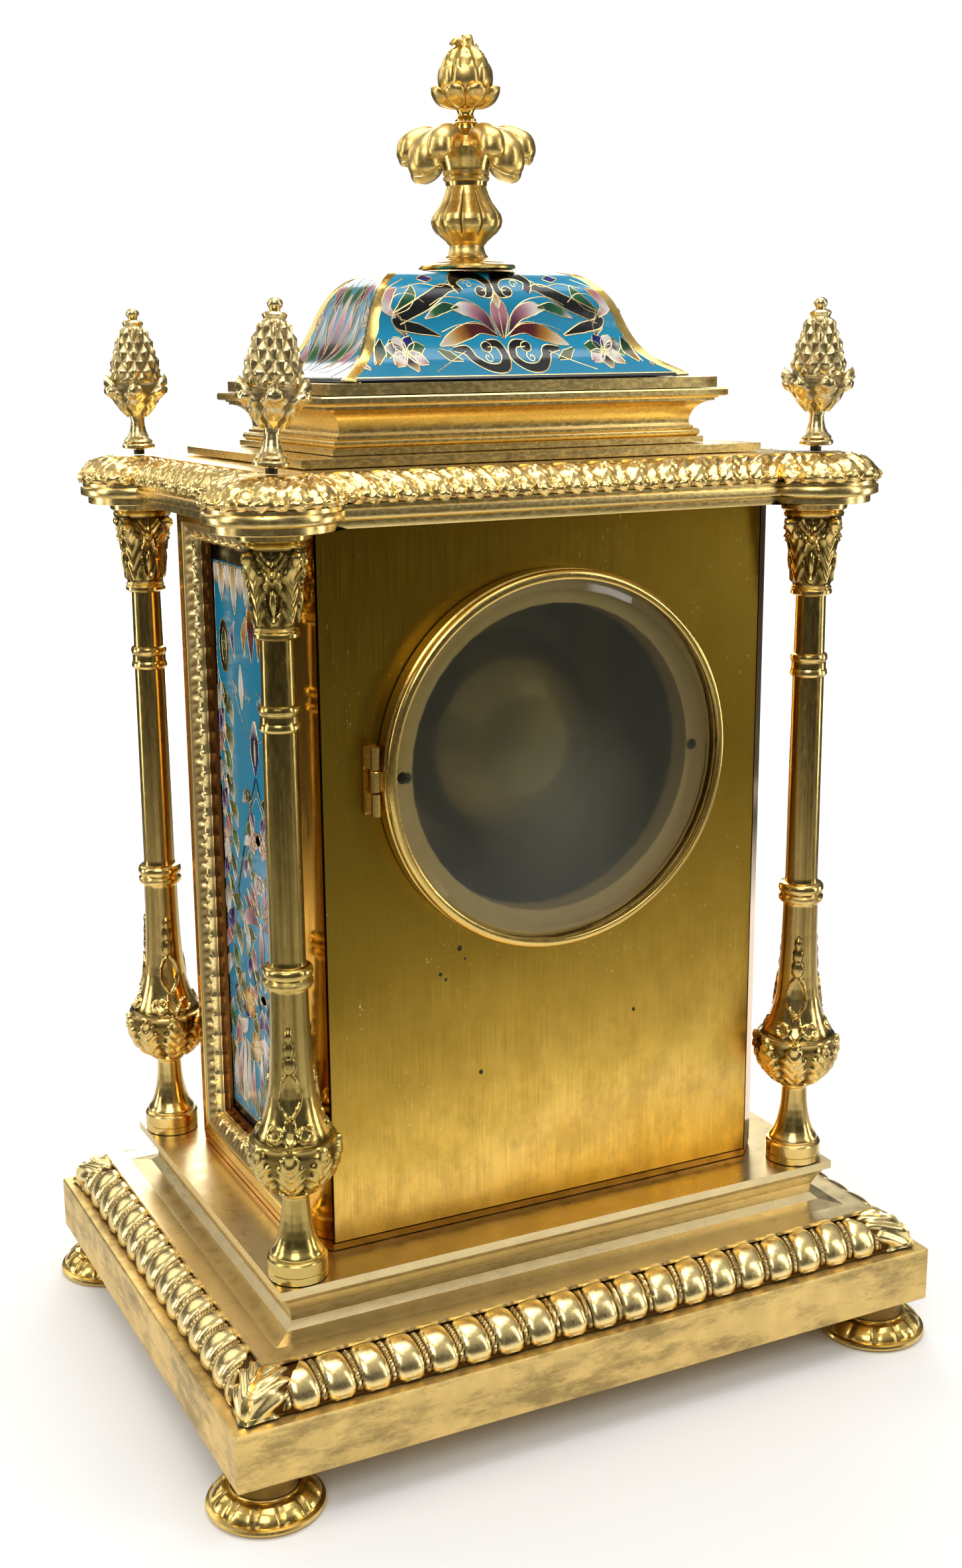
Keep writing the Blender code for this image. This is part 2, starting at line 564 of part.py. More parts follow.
def going_train():
    """Barrel, centre wheel, third wheel and escape wheel. Their coarse teeth keep the train's whole ratios."""
    half = math.pi
    to_centre = direction(GOING, CENTRE)
    hub = [(5.0 * MM, -16.4 * MM), (5.0 * MM, -20.8 * MM)]
    profile = hub + barrel_profile()[:3] + [(2.9 * MM, -16.4 * MM)]
    barrel = turned("going_barrel", profile, BRASS, at=(GOING[0], 0, GOING[1]), along="Y", steps=24, ring=True)
    fuse(barrel, wheel("great_wheel", 30, 17.0 * MM, -16.8 * MM, -15.6 * MM, GOING, to_centre, None, 2.9 * MM))
    pinion = wheel("centre_pinion", 6, 3.4 * MM, -17.4 * MM, -15.0 * MM, CENTRE, to_centre + half + half / 6, None)
    to_third = direction(CENTRE, THIRD)
    centre = wheel("centre_wheel", 30, 12.0 * MM, -36.6 * MM, -35.6 * MM, CENTRE, to_third, BRASS)
    fuse(centre, pinion, shaft("centre_arbor", 1.0 * MM, -37.4 * MM, BACK_PLATE_Y + 1.7 * MM, CENTRE))
    pinion = wheel("third_pinion", 6, 2.4 * MM, -37.0 * MM, -35.2 * MM, THIRD, to_third + half + half / 6, None)
    to_escape = direction(THIRD, ESCAPE)
    third = wheel("third_wheel", 30, 9.6 * MM, -19.5 * MM, -18.5 * MM, THIRD, to_escape, BRASS)
    fuse(third, pinion, shaft("third_arbor", 1.0 * MM, FRONT_PLATE_Y + GAP, BACK_PLATE_Y + 1.7 * MM, THIRD))
    pinion = wheel("escape_pinion", 6, 1.92 * MM, -20.0 * MM, -18.0 * MM, ESCAPE, to_escape + half + half / 6, None)
    escape = flat("escape_wheel", [ratchet(24, 9.0 * MM, 7.6 * MM)], 1.0 * MM, BRASS,
                  at=(ESCAPE[0], -12.0 * MM, ESCAPE[1]), facing="Y")
    fuse(escape, pinion, shaft("escape_arbor", 1.0 * MM, FRONT_PLATE_Y + GAP, BACK_PLATE_Y + 1.7 * MM, ESCAPE))
    turned("strike_barrel", barrel_profile(), BRASS, at=(STRIKE[0], 0, STRIKE[1]), along="Y", steps=24, ring=True)


def barrel_profile():
    """A spring barrel's drum, bored for its winding arbor, from its rear face to its front face."""
    return [(16.4 * MM, -20.8 * MM), (16.4 * MM, -34.4 * MM), (2.9 * MM, -34.4 * MM), (2.9 * MM, -20.8 * MM)]


def ratchet(teeth, tip, root):
    """Saw teeth, as on an escape wheel."""
    points = []
    pitch = 2 * math.pi / teeth
    for i in range(teeth):
        points.append((tip * math.cos(pitch * i), tip * math.sin(pitch * i)))
        points.append((root * math.cos(pitch * (i + 0.35)), root * math.sin(pitch * (i + 0.35))))
    return points


def winding_arbors():
    """The arbors that a key turns, one through each barrel, with squares behind the dial's holes."""
    for name, at in (("going_winding_arbor", GOING), ("strike_winding_arbor", STRIKE)):
        arbor = shaft(name, 2.6 * MM, -46.0 * MM, BACK_PLATE_Y + 1.7 * MM, at, STEEL, 16)
        square = box("square", (at[0] - 1.6 * MM, -49.0 * MM, at[1] - 1.6 * MM),
                     (at[0] + 1.6 * MM, -45.0 * MM, at[1] + 1.6 * MM), None)
        fuse(arbor, square)


def dial_and_hands():
    holes = [circle(3.6 * MM, 20)] + [circle(3.2 * MM, 16, (a[0], a[1] - DIAL_Z)) for a in (GOING, STRIKE)]
    flat("dial", [circle(46.2 * MM, 48)] + holes, 1.4 * MM, CREAM, at=(0, -48.6 * MM, DIAL_Z), facing="Y")
    down = math.pi
    to_motion = direction(CENTRE, MOTION)
    hour = turned("hour_hand", [(3.2 * MM, -42.6 * MM), (3.2 * MM, -52.2 * MM), (1.9 * MM, -52.2 * MM), (1.9 * MM, -42.6 * MM)],
                  BLUED, at=(0, 0, DIAL_Z), along="Y", steps=20, ring=True)
    hour_blade = flat("hour_blade", [hand_outline(24.0 * MM, 2.6 * MM), circle(2.5 * MM, 16)], 0.7 * MM, None,
                      at=(0, -51.6 * MM, DIAL_Z), facing="Y", turn=math.radians(-50))
    hour_wheel = wheel("hour_wheel", 24, 9.6 * MM, -43.9 * MM, -42.8 * MM, CENTRE, to_motion, None, 2.5 * MM)
    fuse(hour, hour_blade, hour_wheel)
    minute = shaft("minute_hand", 1.5 * MM, -54.6 * MM, -38.6 * MM, CENTRE, BLUED, 16)
    minute_blade = flat("minute_blade", [hand_outline(37.0 * MM, 2.0 * MM)], 0.7 * MM, None,
                        at=(0, -53.6 * MM, DIAL_Z), facing="Y", turn=math.radians(60))
    cannon = wheel("cannon_pinion", 6, 3.0 * MM, -42.2 * MM, -40.6 * MM, CENTRE, to_motion, None)
    fuse(minute, minute_blade, cannon)
    relay = wheel("minute_wheel", 18, 9.0 * MM, -42.0 * MM, -40.8 * MM, MOTION, to_motion + down + down / 18, BRASS)
    pinion = wheel("minute_pinion", 6, 2.4 * MM, -44.4 * MM, -41.4 * MM, MOTION, to_motion + down + down / 6, None)
    fuse(relay, pinion, shaft("relay_post", 0.8 * MM, -45.6 * MM, -41.0 * MM, MOTION))


def hand_outline(length, width):
    """A leaf-shaped hand along the outline's +X, with a round boss at the centre and a short tail."""
    boss = 4.4 * MM
    points = [(boss * math.cos(t), boss * math.sin(t)) for t in (math.radians(a) for a in range(30, 331, 30))]
    lower = [(length * s, -width * w) for s, w in ((0.30, 0.35), (0.55, 1.0), (0.80, 0.45))]
    upper = [(x, -y) for x, y in reversed(lower)]
    return points + lower + [(length, 0.0)] + upper


def escapement():
    """The pallets rock over the escape wheel; their crutch holds the pendulum rod behind the back plate."""
    right = [(9.6, -5.2), (9.2, -8.6), (7.9, -8.0), (7.6, -5.6)]
    left = [(-x, y) for x, y in reversed(right)]
    outline = [(-1.4, 2.6), (1.4, 2.6)] + right + [(0, 0.2)] + left
    anchor = flat("anchor", [[(x * MM, y * MM) for x, y in outline]], 1.6 * MM, STEEL,
                  at=(PALLET[0], -12.0 * MM, PALLET[1]), facing="Y")
    pallet_arbor = shaft("pallet_arbor", 0.9 * MM, FRONT_PLATE_Y + GAP, 2.0 * MM, PALLET)
    low = PALLET[1] - 20.0 * MM
    crutch = box("crutch", (-0.7 * MM, 0.8 * MM, low), (0.7 * MM, 2.4 * MM, PALLET[1]), None)
    fork = box("fork", (-2.6 * MM, 0.9 * MM, low), (2.6 * MM, 2.3 * MM, low + 1.6 * MM), None)
    fuse(anchor, pallet_arbor, crutch, fork)
    for side in (-1, 1):
        fuse(anchor, box("fork_pin", (side * 1.8 * MM - 0.5 * MM, 1.4 * MM, low + 0.3 * MM),
                         (side * 1.8 * MM + 0.5 * MM, 6.0 * MM, low + 1.3 * MM), None))
    bob = [(0, 7.4 * MM), (14.0 * MM, 6.6 * MM), (18.0 * MM, 4.6 * MM), (14.0 * MM, 2.6 * MM), (0, 1.8 * MM)]
    pendulum = turned("pendulum", bob, BRASS, at=(0, 0, BOB_Z), along="Y", steps=24)
    fuse(pendulum, rod("pendulum_rod", 1.0 * MM, (0, 4.3 * MM, BOB_Z - 22 * MM), (0, 4.3 * MM, PALLET[1] + 2.5 * MM),
                       None, 8))


def strike_work():
    """The bell behind the back plate and the hammer beside it."""
    rise = [(31.0 * MM, 17.6 * MM), (34.0 * MM, 17.6 * MM), (32.6 * MM, 22.0 * MM), (27.0 * MM, 29.0 * MM),
            (16.0 * MM, 34.0 * MM), (0, 35.6 * MM), (0, 33.6 * MM), (15.0 * MM, 32.2 * MM), (25.4 * MM, 27.6 * MM),
            (30.2 * MM, 21.4 * MM)]
    profile = rise[5::-1] + rise[:5:-1]
    bell = turned("bell", profile, BRASS, at=(0, 0, DIAL_Z), along="Y", steps=24)
    fuse(bell, shaft("bell_stem", 1.8 * MM, 17.0 * MM, 35.0 * MM, CENTRE))
    hammer = shaft("hammer", 1.4 * MM, BACK_PLATE_Y + MOVEMENT_PLATE_T + GAP, 23.0 * MM, HAMMER, STEEL)
    stem = rod("hammer_stem", 1.0 * MM, (HAMMER[0], 20.4 * MM, HAMMER[1]), (HAMMER[0], 20.4 * MM, DIAL_Z), None, 8)
    head = rod("hammer_head", 2.8 * MM, (HAMMER[0] - 5.6 * MM, 20.4 * MM, DIAL_Z - 2 * MM),
               (HAMMER[0] + 3.0 * MM, 20.4 * MM, DIAL_Z - 2 * MM), None, 12)
    fuse(hammer, stem, head)


base()
columns()
case_frame()
panels()
cornice()
attic()
top_finial()
pineapples()
doors()
movement_plates()
going_train()
winding_arbors()
dial_and_hands()
escapement()
strike_work()
bpy.context.view_layer.update()
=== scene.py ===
"""Looks of the gilt-brass mantel clock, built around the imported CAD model.

Everything is in metres in the CAD's frame: +Z up, -Y the dial side, +Y the rear door side, +X the
right-hand side as seen from the dial. Lists of shape points are in millimetres and are scaled as they
are used.
"""

import math

import bmesh
import bpy
import numpy as np
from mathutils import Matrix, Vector


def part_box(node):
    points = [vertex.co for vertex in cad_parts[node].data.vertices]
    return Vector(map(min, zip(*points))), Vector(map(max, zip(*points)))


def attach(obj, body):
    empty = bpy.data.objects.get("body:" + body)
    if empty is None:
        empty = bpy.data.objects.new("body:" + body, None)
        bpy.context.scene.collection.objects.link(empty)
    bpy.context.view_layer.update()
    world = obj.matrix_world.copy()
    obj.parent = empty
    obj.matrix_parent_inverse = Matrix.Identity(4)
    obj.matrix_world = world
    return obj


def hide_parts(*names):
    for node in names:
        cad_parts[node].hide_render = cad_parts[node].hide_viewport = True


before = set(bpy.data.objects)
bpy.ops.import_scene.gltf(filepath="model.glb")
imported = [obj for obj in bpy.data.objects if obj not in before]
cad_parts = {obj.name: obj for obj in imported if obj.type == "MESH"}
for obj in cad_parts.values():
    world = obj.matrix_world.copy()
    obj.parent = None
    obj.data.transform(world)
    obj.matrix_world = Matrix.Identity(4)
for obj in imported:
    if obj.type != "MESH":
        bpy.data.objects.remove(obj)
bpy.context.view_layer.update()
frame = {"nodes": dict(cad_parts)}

MM = 0.001
SIDES = (("front_left", -1, -1), ("front_right", 1, -1), ("back_left", -1, 1), ("back_right", 1, 1))
LEAF_FACING = 1.108         # the angle that the finial's and the near column's leaves face
NEAR_FINIAL_LEAN = -0.0576  # the near pineapple stands a little crooked, in radians
BORDER = 12.9               # millimetres from a frame's edge to its window

# the camera, at the photograph's viewing angle
CAMERA_AT = (0.26236, 0.52344, 0.31966)
CAMERA_TURN = (76.660, 0.704, 154.103)      # XYZ rotation in degrees
CAMERA_LENS, CAMERA_SENSOR = 42.49, 36.0
CAMERA_SHIFT = (0.0238, 0.0032)


# ---------------------------------------------------------------- materials


class Shader:
    """A material's node tree, with short ways to add the nodes used here."""

    def __init__(self, name):
        self.mat = bpy.data.materials.new(name)
        self.mat.use_nodes = True
        self.nodes = self.mat.node_tree.nodes
        self.links = self.mat.node_tree.links
        self.body = self.nodes["Principled BSDF"]
        self.place = self.nodes.new("ShaderNodeTexCoord").outputs["Object"]

    def put(self, socket, value):
        """Feeds a socket from another node or with a plain value."""
        if isinstance(value, bpy.types.NodeSocket):
            self.links.new(value, socket)
        elif isinstance(value, tuple) and len(value) == 3 and socket.type == "RGBA":
            socket.default_value = (*value, 1.0)
        else:
            socket.default_value = value

    def noise(self, size, detail=3.0, stretch=(1, 1, 1), rough=0.5):
        """Noise with features of about size metres, made longer along an axis by stretch."""
        mapping = self.nodes.new("ShaderNodeMapping")
        mapping.inputs["Scale"].default_value = [1.0 / (size * s) for s in stretch]
        self.links.new(self.place, mapping.inputs["Vector"])
        node = self.nodes.new("ShaderNodeTexNoise")
        node.inputs["Scale"].default_value = 1.0
        node.inputs["Detail"].default_value = detail
        node.inputs["Roughness"].default_value = rough
        self.links.new(mapping.outputs["Vector"], node.inputs["Vector"])
        return node.outputs["Fac"]

    def levels(self, value, low, high, low_out=0.0, high_out=1.0):
        """Stretches a value from one range to another, and clamps it."""
        node = self.nodes.new("ShaderNodeMapRange")
        node.inputs["From Min"].default_value = low
        node.inputs["From Max"].default_value = high
        node.inputs["To Min"].default_value = low_out
        node.inputs["To Max"].default_value = high_out
        self.put(node.inputs["Value"], value)
        return node.outputs["Result"]

    def maths(self, kind, a, b=0.0):
        """One Math node."""
        node = self.nodes.new("ShaderNodeMath")
        node.operation = kind
        self.put(node.inputs[0], a)
        self.put(node.inputs[1], b)
        return node.outputs["Value"]

    def mix(self, share, a, b, blend="MIX"):
        """Mixes two colours by a share of the second."""
        node = self.nodes.new("ShaderNodeMix")
        node.data_type = "RGBA"
        node.blend_type = blend
        self.put(node.inputs["Factor"], share)
        self.put(node.inputs[6], a)
        self.put(node.inputs[7], b)
        return node.outputs[2]

    def attribute(self, name, output="Fac"):
        """A value stored on the mesh."""
        node = self.nodes.new("ShaderNodeAttribute")
        node.attribute_name = name
        return node.outputs[output]

    def axis(self, letter):
        """The height or place along one axis, in metres."""
        node = self.nodes.new("ShaderNodeSeparateXYZ")
        self.links.new(self.place, node.inputs["Vector"])
        return node.outputs[letter]

    def bump(self, height, depth):
        """A normal bent by a height, whose full range is depth metres."""
        node = self.nodes.new("ShaderNodeBump")
        node.inputs["Strength"].default_value = 1.0
        node.inputs["Distance"].default_value = depth
        self.put(node.inputs["Height"], height)
        return node.outputs["Normal"]

    def finish(self, **values):
        """Sets the Principled inputs, given with underscores for spaces."""
        for key, value in values.items():
            self.put(self.body.inputs[key.replace("_", " ").title().replace("Ior", "IOR")], value)
        return self.mat


def gilt(name, colour, hollow, rough, blotch=0.35, scratch=(1, 1, 1), scratch_depth=0.012, stain=0.0,
         dulling=0.25):
    """Old gilding: warm metal that darkens in its hollows, with soft blotches and fine handling marks.

    The 'grime_and_shade' attribute, 0 on the heights and 1 in the hollows, says where it darkens: grime in
    the chasing, and painted shade in hollows, creases and places tucked under other parts.
    """
    s = Shader(name)
    clouds = s.noise(9 * MM, 4.0)
    fine = s.noise(0.9 * MM, 4.0, scratch)
    grime_and_shade = s.levels(s.attribute("grime_and_shade"), 0.25, 0.95)
    worn = s.levels(clouds, 0.35, 0.72, 0.0, blotch)
    tone = s.mix(worn, colour, tuple(c * 0.62 + h * 0.38 for c, h in zip(colour, hollow)))
    if stain:
        spots = s.levels(s.noise(12 * MM, 10.0, (1.8, 1.8, 0.6), 0.70), 0.47, 0.62, 0.0, stain * 0.8)
        tone = s.mix(spots, tone, hollow)
    # grime and painted shade: the colour darkens towards the hollow colour where the attribute is high
    tone = s.mix(grime_and_shade, tone, hollow)
    roughness = s.maths("ADD", s.levels(fine, 0.3, 0.7, rough - 0.05, rough + 0.07),
                        s.maths("MULTIPLY", grime_and_shade, dulling))
    return s.finish(base_color=tone, metallic=1.0, roughness=roughness,
                    normal=s.bump(fine, scratch_depth * MM))


def brushed_back_painted_light(name, low, high):
    """The back panel: upright brushing and small pits, with a painted reflection and painted shade: bright
    gold low down, olive and dark above, and darker towards +X.
    """
    s = Shader(name)
    # painted reflection: the colour runs by height from bright gold low down to dark olive higher up, and
    # painted shade tilts it darker towards +X
    rise = s.levels(s.axis("Z"), low, high)
    wander = s.levels(s.noise(24 * MM, 4.0), 0.3, 0.7, -0.035, 0.035)
    aside = s.levels(s.axis("X"), -0.07, 0.07)
    painted_side_tilt = s.maths("MULTIPLY", s.maths("SUBTRACT", aside, 0.45), 0.10)
    rise = s.maths("ADD", s.maths("ADD", rise, wander), painted_side_tilt)
    ramp = s.nodes.new("ShaderNodeValToRGB")
    stops = ((0.0, (0.95, 0.54, 0.07)), (0.09, (1.0, 0.64, 0.15)), (0.155, (0.88, 0.57, 0.11)),
             (0.22, (0.68, 0.43, 0.075)), (0.30, (0.54, 0.345, 0.052)), (0.40, (0.41, 0.26, 0.034)),
             (0.60, (0.31, 0.20, 0.020)), (0.85, (0.35, 0.225, 0.024)), (1.0, (0.28, 0.17, 0.014)))
    while len(ramp.color_ramp.elements) < len(stops):
        ramp.color_ramp.elements.new(0.5)
    for element, (at, colour) in zip(ramp.color_ramp.elements, stops):
        element.position = at
        element.color = (*colour, 1.0)
    s.put(ramp.inputs["Fac"], rise)
    # painted shade: the +X side darkens further higher up
    side = s.maths("MULTIPLY", aside, s.levels(rise, 0.15, 0.45))
    shaded = s.mix(s.maths("MULTIPLY", side, 0.40), ramp.outputs["Color"], (0.10, 0.055, 0.003))
    streaks = s.noise(0.35 * MM, 3.0, (1, 1, 60))
    tone = s.mix(s.levels(streaks, 0.35, 0.7, 0.0, 0.18), shaded, (0.16, 0.09, 0.015))
    patches = s.levels(s.noise(7 * MM, 6.0, (1, 1, 1.6), 0.6), 0.45, 0.75, 0.0, 0.40)
    tone = s.mix(patches, tone, s.mix(1.0, tone, (1.0, 0.88, 0.55), "MULTIPLY"))
    low_down = s.levels(rise, 0.12, 0.38, 0.26, 0.10)
    grain = s.maths("MULTIPLY", s.levels(s.noise(7 * MM, 10.0, (1, 1, 1.5), 0.66), 0.42, 0.62), low_down)
    tone = s.mix(grain, tone, (0.15, 0.085, 0.012))
    region = s.levels(s.noise(22 * MM, 2.0), 0.50, 0.60)
    pits = s.maths("MULTIPLY", s.levels(s.noise(0.9 * MM, 2.0, (1, 1, 1.4)), 0.70, 0.73), region)
    tone = s.mix(s.maths("MULTIPLY", pits, 0.55), tone, (0.90, 0.72, 0.34))
    scratches = s.maths("MULTIPLY", s.levels(s.noise(0.5 * MM, 2.0, (1, 1, 14)), 0.72, 0.75), region)
    tone = s.mix(s.maths("MULTIPLY", scratches, 0.6), tone, (0.90, 0.74, 0.38))
    return s.finish(base_color=tone, metallic=1.0, roughness=s.levels(streaks, 0.3, 0.7, 0.30, 0.42),
                    normal=s.bump(streaks, 0.012 * MM))


def enamel_material(name):
    """Glossy enamel, coloured by the 'tint' attribute, with gentle unevenness in its colour and surface."""
    s = Shader(name)
    tint = s.attribute("tint", "Color")
    clouds = s.levels(s.noise(4 * MM, 4.0), 0.3, 0.7, 0.0, 0.30)
    tone = s.mix(clouds, tint, s.mix(1.0, tint, (0.62, 0.72, 0.80), "MULTIPLY"))
    return s.finish(base_color=tone, roughness=0.16, specular_ior_level=0.35, coat_weight=0.15,
                    coat_roughness=0.05, normal=s.bump(s.noise(2.5 * MM, 2.0), 0.03 * MM))


def plain_metal(name, colour, rough):
    """Plain metal with faint clouds and fine unevenness in its gloss."""
    s = Shader(name)
    fine = s.noise(0.6 * MM, 3.0)
    tone = s.mix(s.levels(s.noise(6 * MM), 0.3, 0.7, 0.0, 0.25), colour, tuple(0.7 * c for c in colour))
    return s.finish(base_color=tone, metallic=1.0, roughness=s.levels(fine, 0.3, 0.7, rough - 0.05,
                                                                      rough + 0.08))


def glass_material(name, colour, clear, middle=None):
    """Old door glass. With a middle height given, its flat part is a little matt and dusty, with a painted
    whitish reflection a little below the middle, and its bevel clear.
    """
    s = Shader(name)
    haze, share = 0.03, clear
    if middle is not None:
        x, z = s.axis("X"), s.maths("SUBTRACT", s.axis("Z"), middle)
        out = s.maths("SQRT", s.maths("ADD", s.maths("MULTIPLY", x, x), s.maths("MULTIPLY", z, z)))
        flat = s.levels(out, 49.5 * MM, 51.0 * MM, 1.0, 0.0)
        clouds = s.levels(s.noise(30 * MM, 2.0), 0.3, 0.7, 0.13, 0.17)
        haze = s.maths("ADD", s.maths("MULTIPLY", clouds, flat), 0.04)
        # painted reflection: a soft whitish glow a little below the middle of the flat part, where less
        # light goes through
        fall = s.maths("ADD", z, 13 * MM)
        bloom = s.maths("SQRT", s.maths("ADD", s.maths("MULTIPLY", x, x), s.maths("MULTIPLY", fall, fall)))
        painted_glow = s.levels(bloom, 32 * MM, 4 * MM, 0.018, 0.085)
        dust = s.levels(s.noise(0.7 * MM, 3.0), 0.62, 0.74, 0.0, 0.06)
        share = s.maths("SUBTRACT", 1.0, s.maths("MULTIPLY", s.maths("ADD", painted_glow, dust), flat))
    s.finish(base_color=colour, roughness=haze, transmission_weight=share, ior=1.46)
    # light reaches what lies behind the glass straight through it
    through = s.nodes.new("ShaderNodeBsdfTransparent")
    through.inputs["Color"].default_value = (*colour, 1.0)
    mix = s.nodes.new("ShaderNodeMixShader")
    s.put(mix.inputs["Fac"], s.nodes.new("ShaderNodeLightPath").outputs["Is Shadow Ray"])
    s.links.new(s.body.outputs["BSDF"], mix.inputs[1])
    s.links.new(through.outputs["BSDF"], mix.inputs[2])
    s.links.new(mix.outputs["Shader"], s.nodes["Material Output"].inputs["Surface"])
    return s.mat


def dial_material(name):
    """White dial enamel, slightly yellowed in clouds."""
    s = Shader(name)
    clouds = s.levels(s.noise(12 * MM), 0.3, 0.7, 0.0, 0.25)
    return s.finish(base_color=s.mix(clouds, (0.90, 0.87, 0.78), (0.84, 0.79, 0.66)), roughness=0.16,
                    coat_weight=0.5)


GILT_BRIGHT = gilt("gilt_bright", (0.80, 0.56, 0.17), (0.12, 0.06, 0.012), 0.20)
GILT_CHASED = gilt("gilt_chased", (0.96, 0.74, 0.32), (0.10, 0.045, 0.008), 0.22, 0.20)
GILT_FLAT = gilt("gilt_flat", (0.84, 0.60, 0.22), (0.22, 0.155, 0.06), 0.42, 0.80, (6, 6, 1), 0.012, 0.8)
GILT_SOCLE = gilt("gilt_socle", (0.80, 0.64, 0.34), (0.26, 0.18, 0.07), 0.29, 0.35, (6, 6, 1), 0.010, 0.12)
COPPERY = gilt("gilt_coppery", (0.78, 0.40, 0.07), (0.10, 0.04, 0.01), 0.10, 0.35, (1, 1, 12), 0.004)
GILT_SATIN = gilt("gilt_satin", (0.84, 0.60, 0.20), (0.14, 0.065, 0.012), 0.31, 0.35, (1, 1, 1), 0.03)
GILT_PALE = gilt("gilt_pale", (0.84, 0.66, 0.32), (0.10, 0.065, 0.02), 0.24, 0.40)
GILT_ATTIC = gilt("gilt_attic", (0.94, 0.70, 0.27), (0.20, 0.12, 0.03), 0.25, 0.25, (2, 2, 1), 0.002, 0.0)
GILT_COLUMN = gilt("gilt_column", (0.82, 0.58, 0.20), (0.10, 0.058, 0.008), 0.19, 0.40, (1, 1, 4), 0.008,
                   0.0, 0.03)
# a darker copy of the column gilt for the near column alone: painted shade over that whole column
GILT_SHADED_COLUMN = gilt("gilt_shaded_column", (0.60, 0.44, 0.135), (0.085, 0.053, 0.010), 0.20, 0.50,
                       (1, 1, 4), 0.008, 0.0, 0.03)
GILT_CORNICE = gilt("gilt_cornice", (0.98, 0.70, 0.26), (0.12, 0.055, 0.008), 0.22, 0.25)
# the reveal's very dark brown is painted shade for the deep recess inside the frames' borders
SHADED_REVEAL = gilt("gilt_reveal_shaded", (0.20, 0.085, 0.02), (0.04, 0.016, 0.005), 0.22, 0.5, (1, 1, 6), 0.006)
BACK = brushed_back_painted_light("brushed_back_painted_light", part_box("back_panel")[0].z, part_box("back_panel")[1].z)
ENAMEL = enamel_material("enamel")
BRASS = plain_metal("movement_brass", (0.80, 0.62, 0.28), 0.26)
SEAT = plain_metal("silvered_seat", (0.88, 0.68, 0.44), 0.62)
BRONZE = plain_metal("bell_bronze", (0.34, 0.26, 0.15), 0.38)
STEEL = plain_metal("movement_steel", (0.40, 0.41, 0.43), 0.28)
BLUED = plain_metal("blued_steel", (0.03, 0.04, 0.09), 0.30)
PRINT = plain_metal("dial_print", (0.012, 0.012, 0.014), 0.5)
DARK = plain_metal("dark_steel", (0.05, 0.045, 0.04), 0.45)
SMOKED = glass_material("rear_door_glass", (0.60, 0.60, 0.45), 0.95,
                        (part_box("rear_glass")[0].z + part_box("rear_glass")[1].z) / 2)
GLASS = glass_material("front_door_glass", (0.96, 0.97, 0.96), 0.99)
DIAL = dial_material("dial_enamel")


# ---------------------------------------------------------------- surfaces


def hump(x, width):
    """A smooth rise from 0 at -width to 1 at 0 and back to 0 at +width."""
    return np.where(np.abs(x) < width, np.cos(np.pi / 2 * np.clip(x / width, -1, 1)) ** 2, 0.0)


def ease(x):
    """A smooth step from 0 at 0 to 1 at 1."""
    x = np.clip(x, 0.0, 1.0)
    return x * x * (3 - 2 * x)


def wrapped(angle, spacing):
    """An angle's offset from the nearest multiple of spacing."""
    return (angle + spacing / 2) % spacing - spacing / 2


def along(points, step):
    """Points along a path no further apart than step, keeping its own points."""
    points = np.asarray(points, float)
    rows = [points[0]]
    for a, b in zip(points[:-1], points[1:]):
        count = max(1, int(math.ceil(np.linalg.norm(b - a) / step)))
        rows += [a + (b - a) * i / count for i in range(1, count + 1)]
    return np.array(rows)


def curve_through(points, count):
    """A smooth Catmull-Rom path of count points through a few given ones."""
    p = np.asarray(points, float)
    p = np.vstack([2 * p[0] - p[1], p, 2 * p[-1] - p[-2]])
    spans = len(p) - 3
    t = np.linspace(0, spans, count)
    i = np.minimum(t.astype(int), spans - 1)
    f = (t - i)[:, None]
    a, b, c, d = p[i], p[i + 1], p[i + 2], p[i + 3]
    return 0.5 * (2 * b + (c - a) * f + (2 * a - 5 * b + 4 * c - d) * f**2 + (3 * b - a - 3 * c + d) * f**3)


def normals_of(grid, around):
    """Unit normals of a (rows, columns, 3) grid whose columns may close on themselves."""
    if around:
        across = np.roll(grid, -1, 1) - np.roll(grid, 1, 1)
    else:
        across = np.gradient(grid, axis=1)
    up = np.gradient(grid, axis=0)
    n = np.cross(across, up)
    return n / np.maximum(np.linalg.norm(n, axis=2, keepdims=True), 1e-12)


def add_piece(name, points, faces, material, body, replaces=(), grime_and_shade=None, tint=None, sharp=35):
    """Makes a piece, ties it to a CAD body and hides the nodes it replaces."""
    mesh = bpy.data.meshes.new(name)
    mesh.from_pydata([tuple(p) for p in points], [], faces)
    # the per-point darkening for the gilt, 0 to 1: grime and painted shade
    if grime_and_shade is not None:
        layer = mesh.attributes.new("grime_and_shade", "FLOAT", "POINT")
        layer.data.foreach_set("value", np.clip(grime_and_shade, 0, 1).ravel())
    if tint is not None:
        layer = mesh.color_attributes.new("tint", "FLOAT_COLOR", "POINT")
        layer.data.foreach_set("color", np.hstack([tint, np.ones((len(tint), 1))]).ravel())
    for each in material if isinstance(material, (list, tuple)) else [material]:
        mesh.materials.append(each)
    mesh.shade_smooth()
    mesh.set_sharp_from_angle(angle=math.radians(sharp))
    obj = bpy.data.objects.new(name, mesh)
    bpy.context.scene.collection.objects.link(obj)
    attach(obj, body)
    if replaces:
        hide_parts(*replaces)
    return obj


def face_outwards(obj):
    """Turns every face of a piece made of closed shells outwards."""
    mesh = bmesh.new()
    mesh.from_mesh(obj.data)
    bmesh.ops.recalc_face_normals(mesh, faces=mesh.faces)
    mesh.to_mesh(obj.data)
    mesh.free()


def grid_faces(rows, columns, around, first=0):
    """Quads of a grid of points, whose columns may close on themselves. first numbers its first point."""
    faces = []
    for i in range(rows - 1):
        for j in range(columns if around else columns - 1):
            k = (j + 1) % columns
            a = first + i * columns
            faces.append((a + j, a + k, a + columns + k, a + columns + j))
    return faces


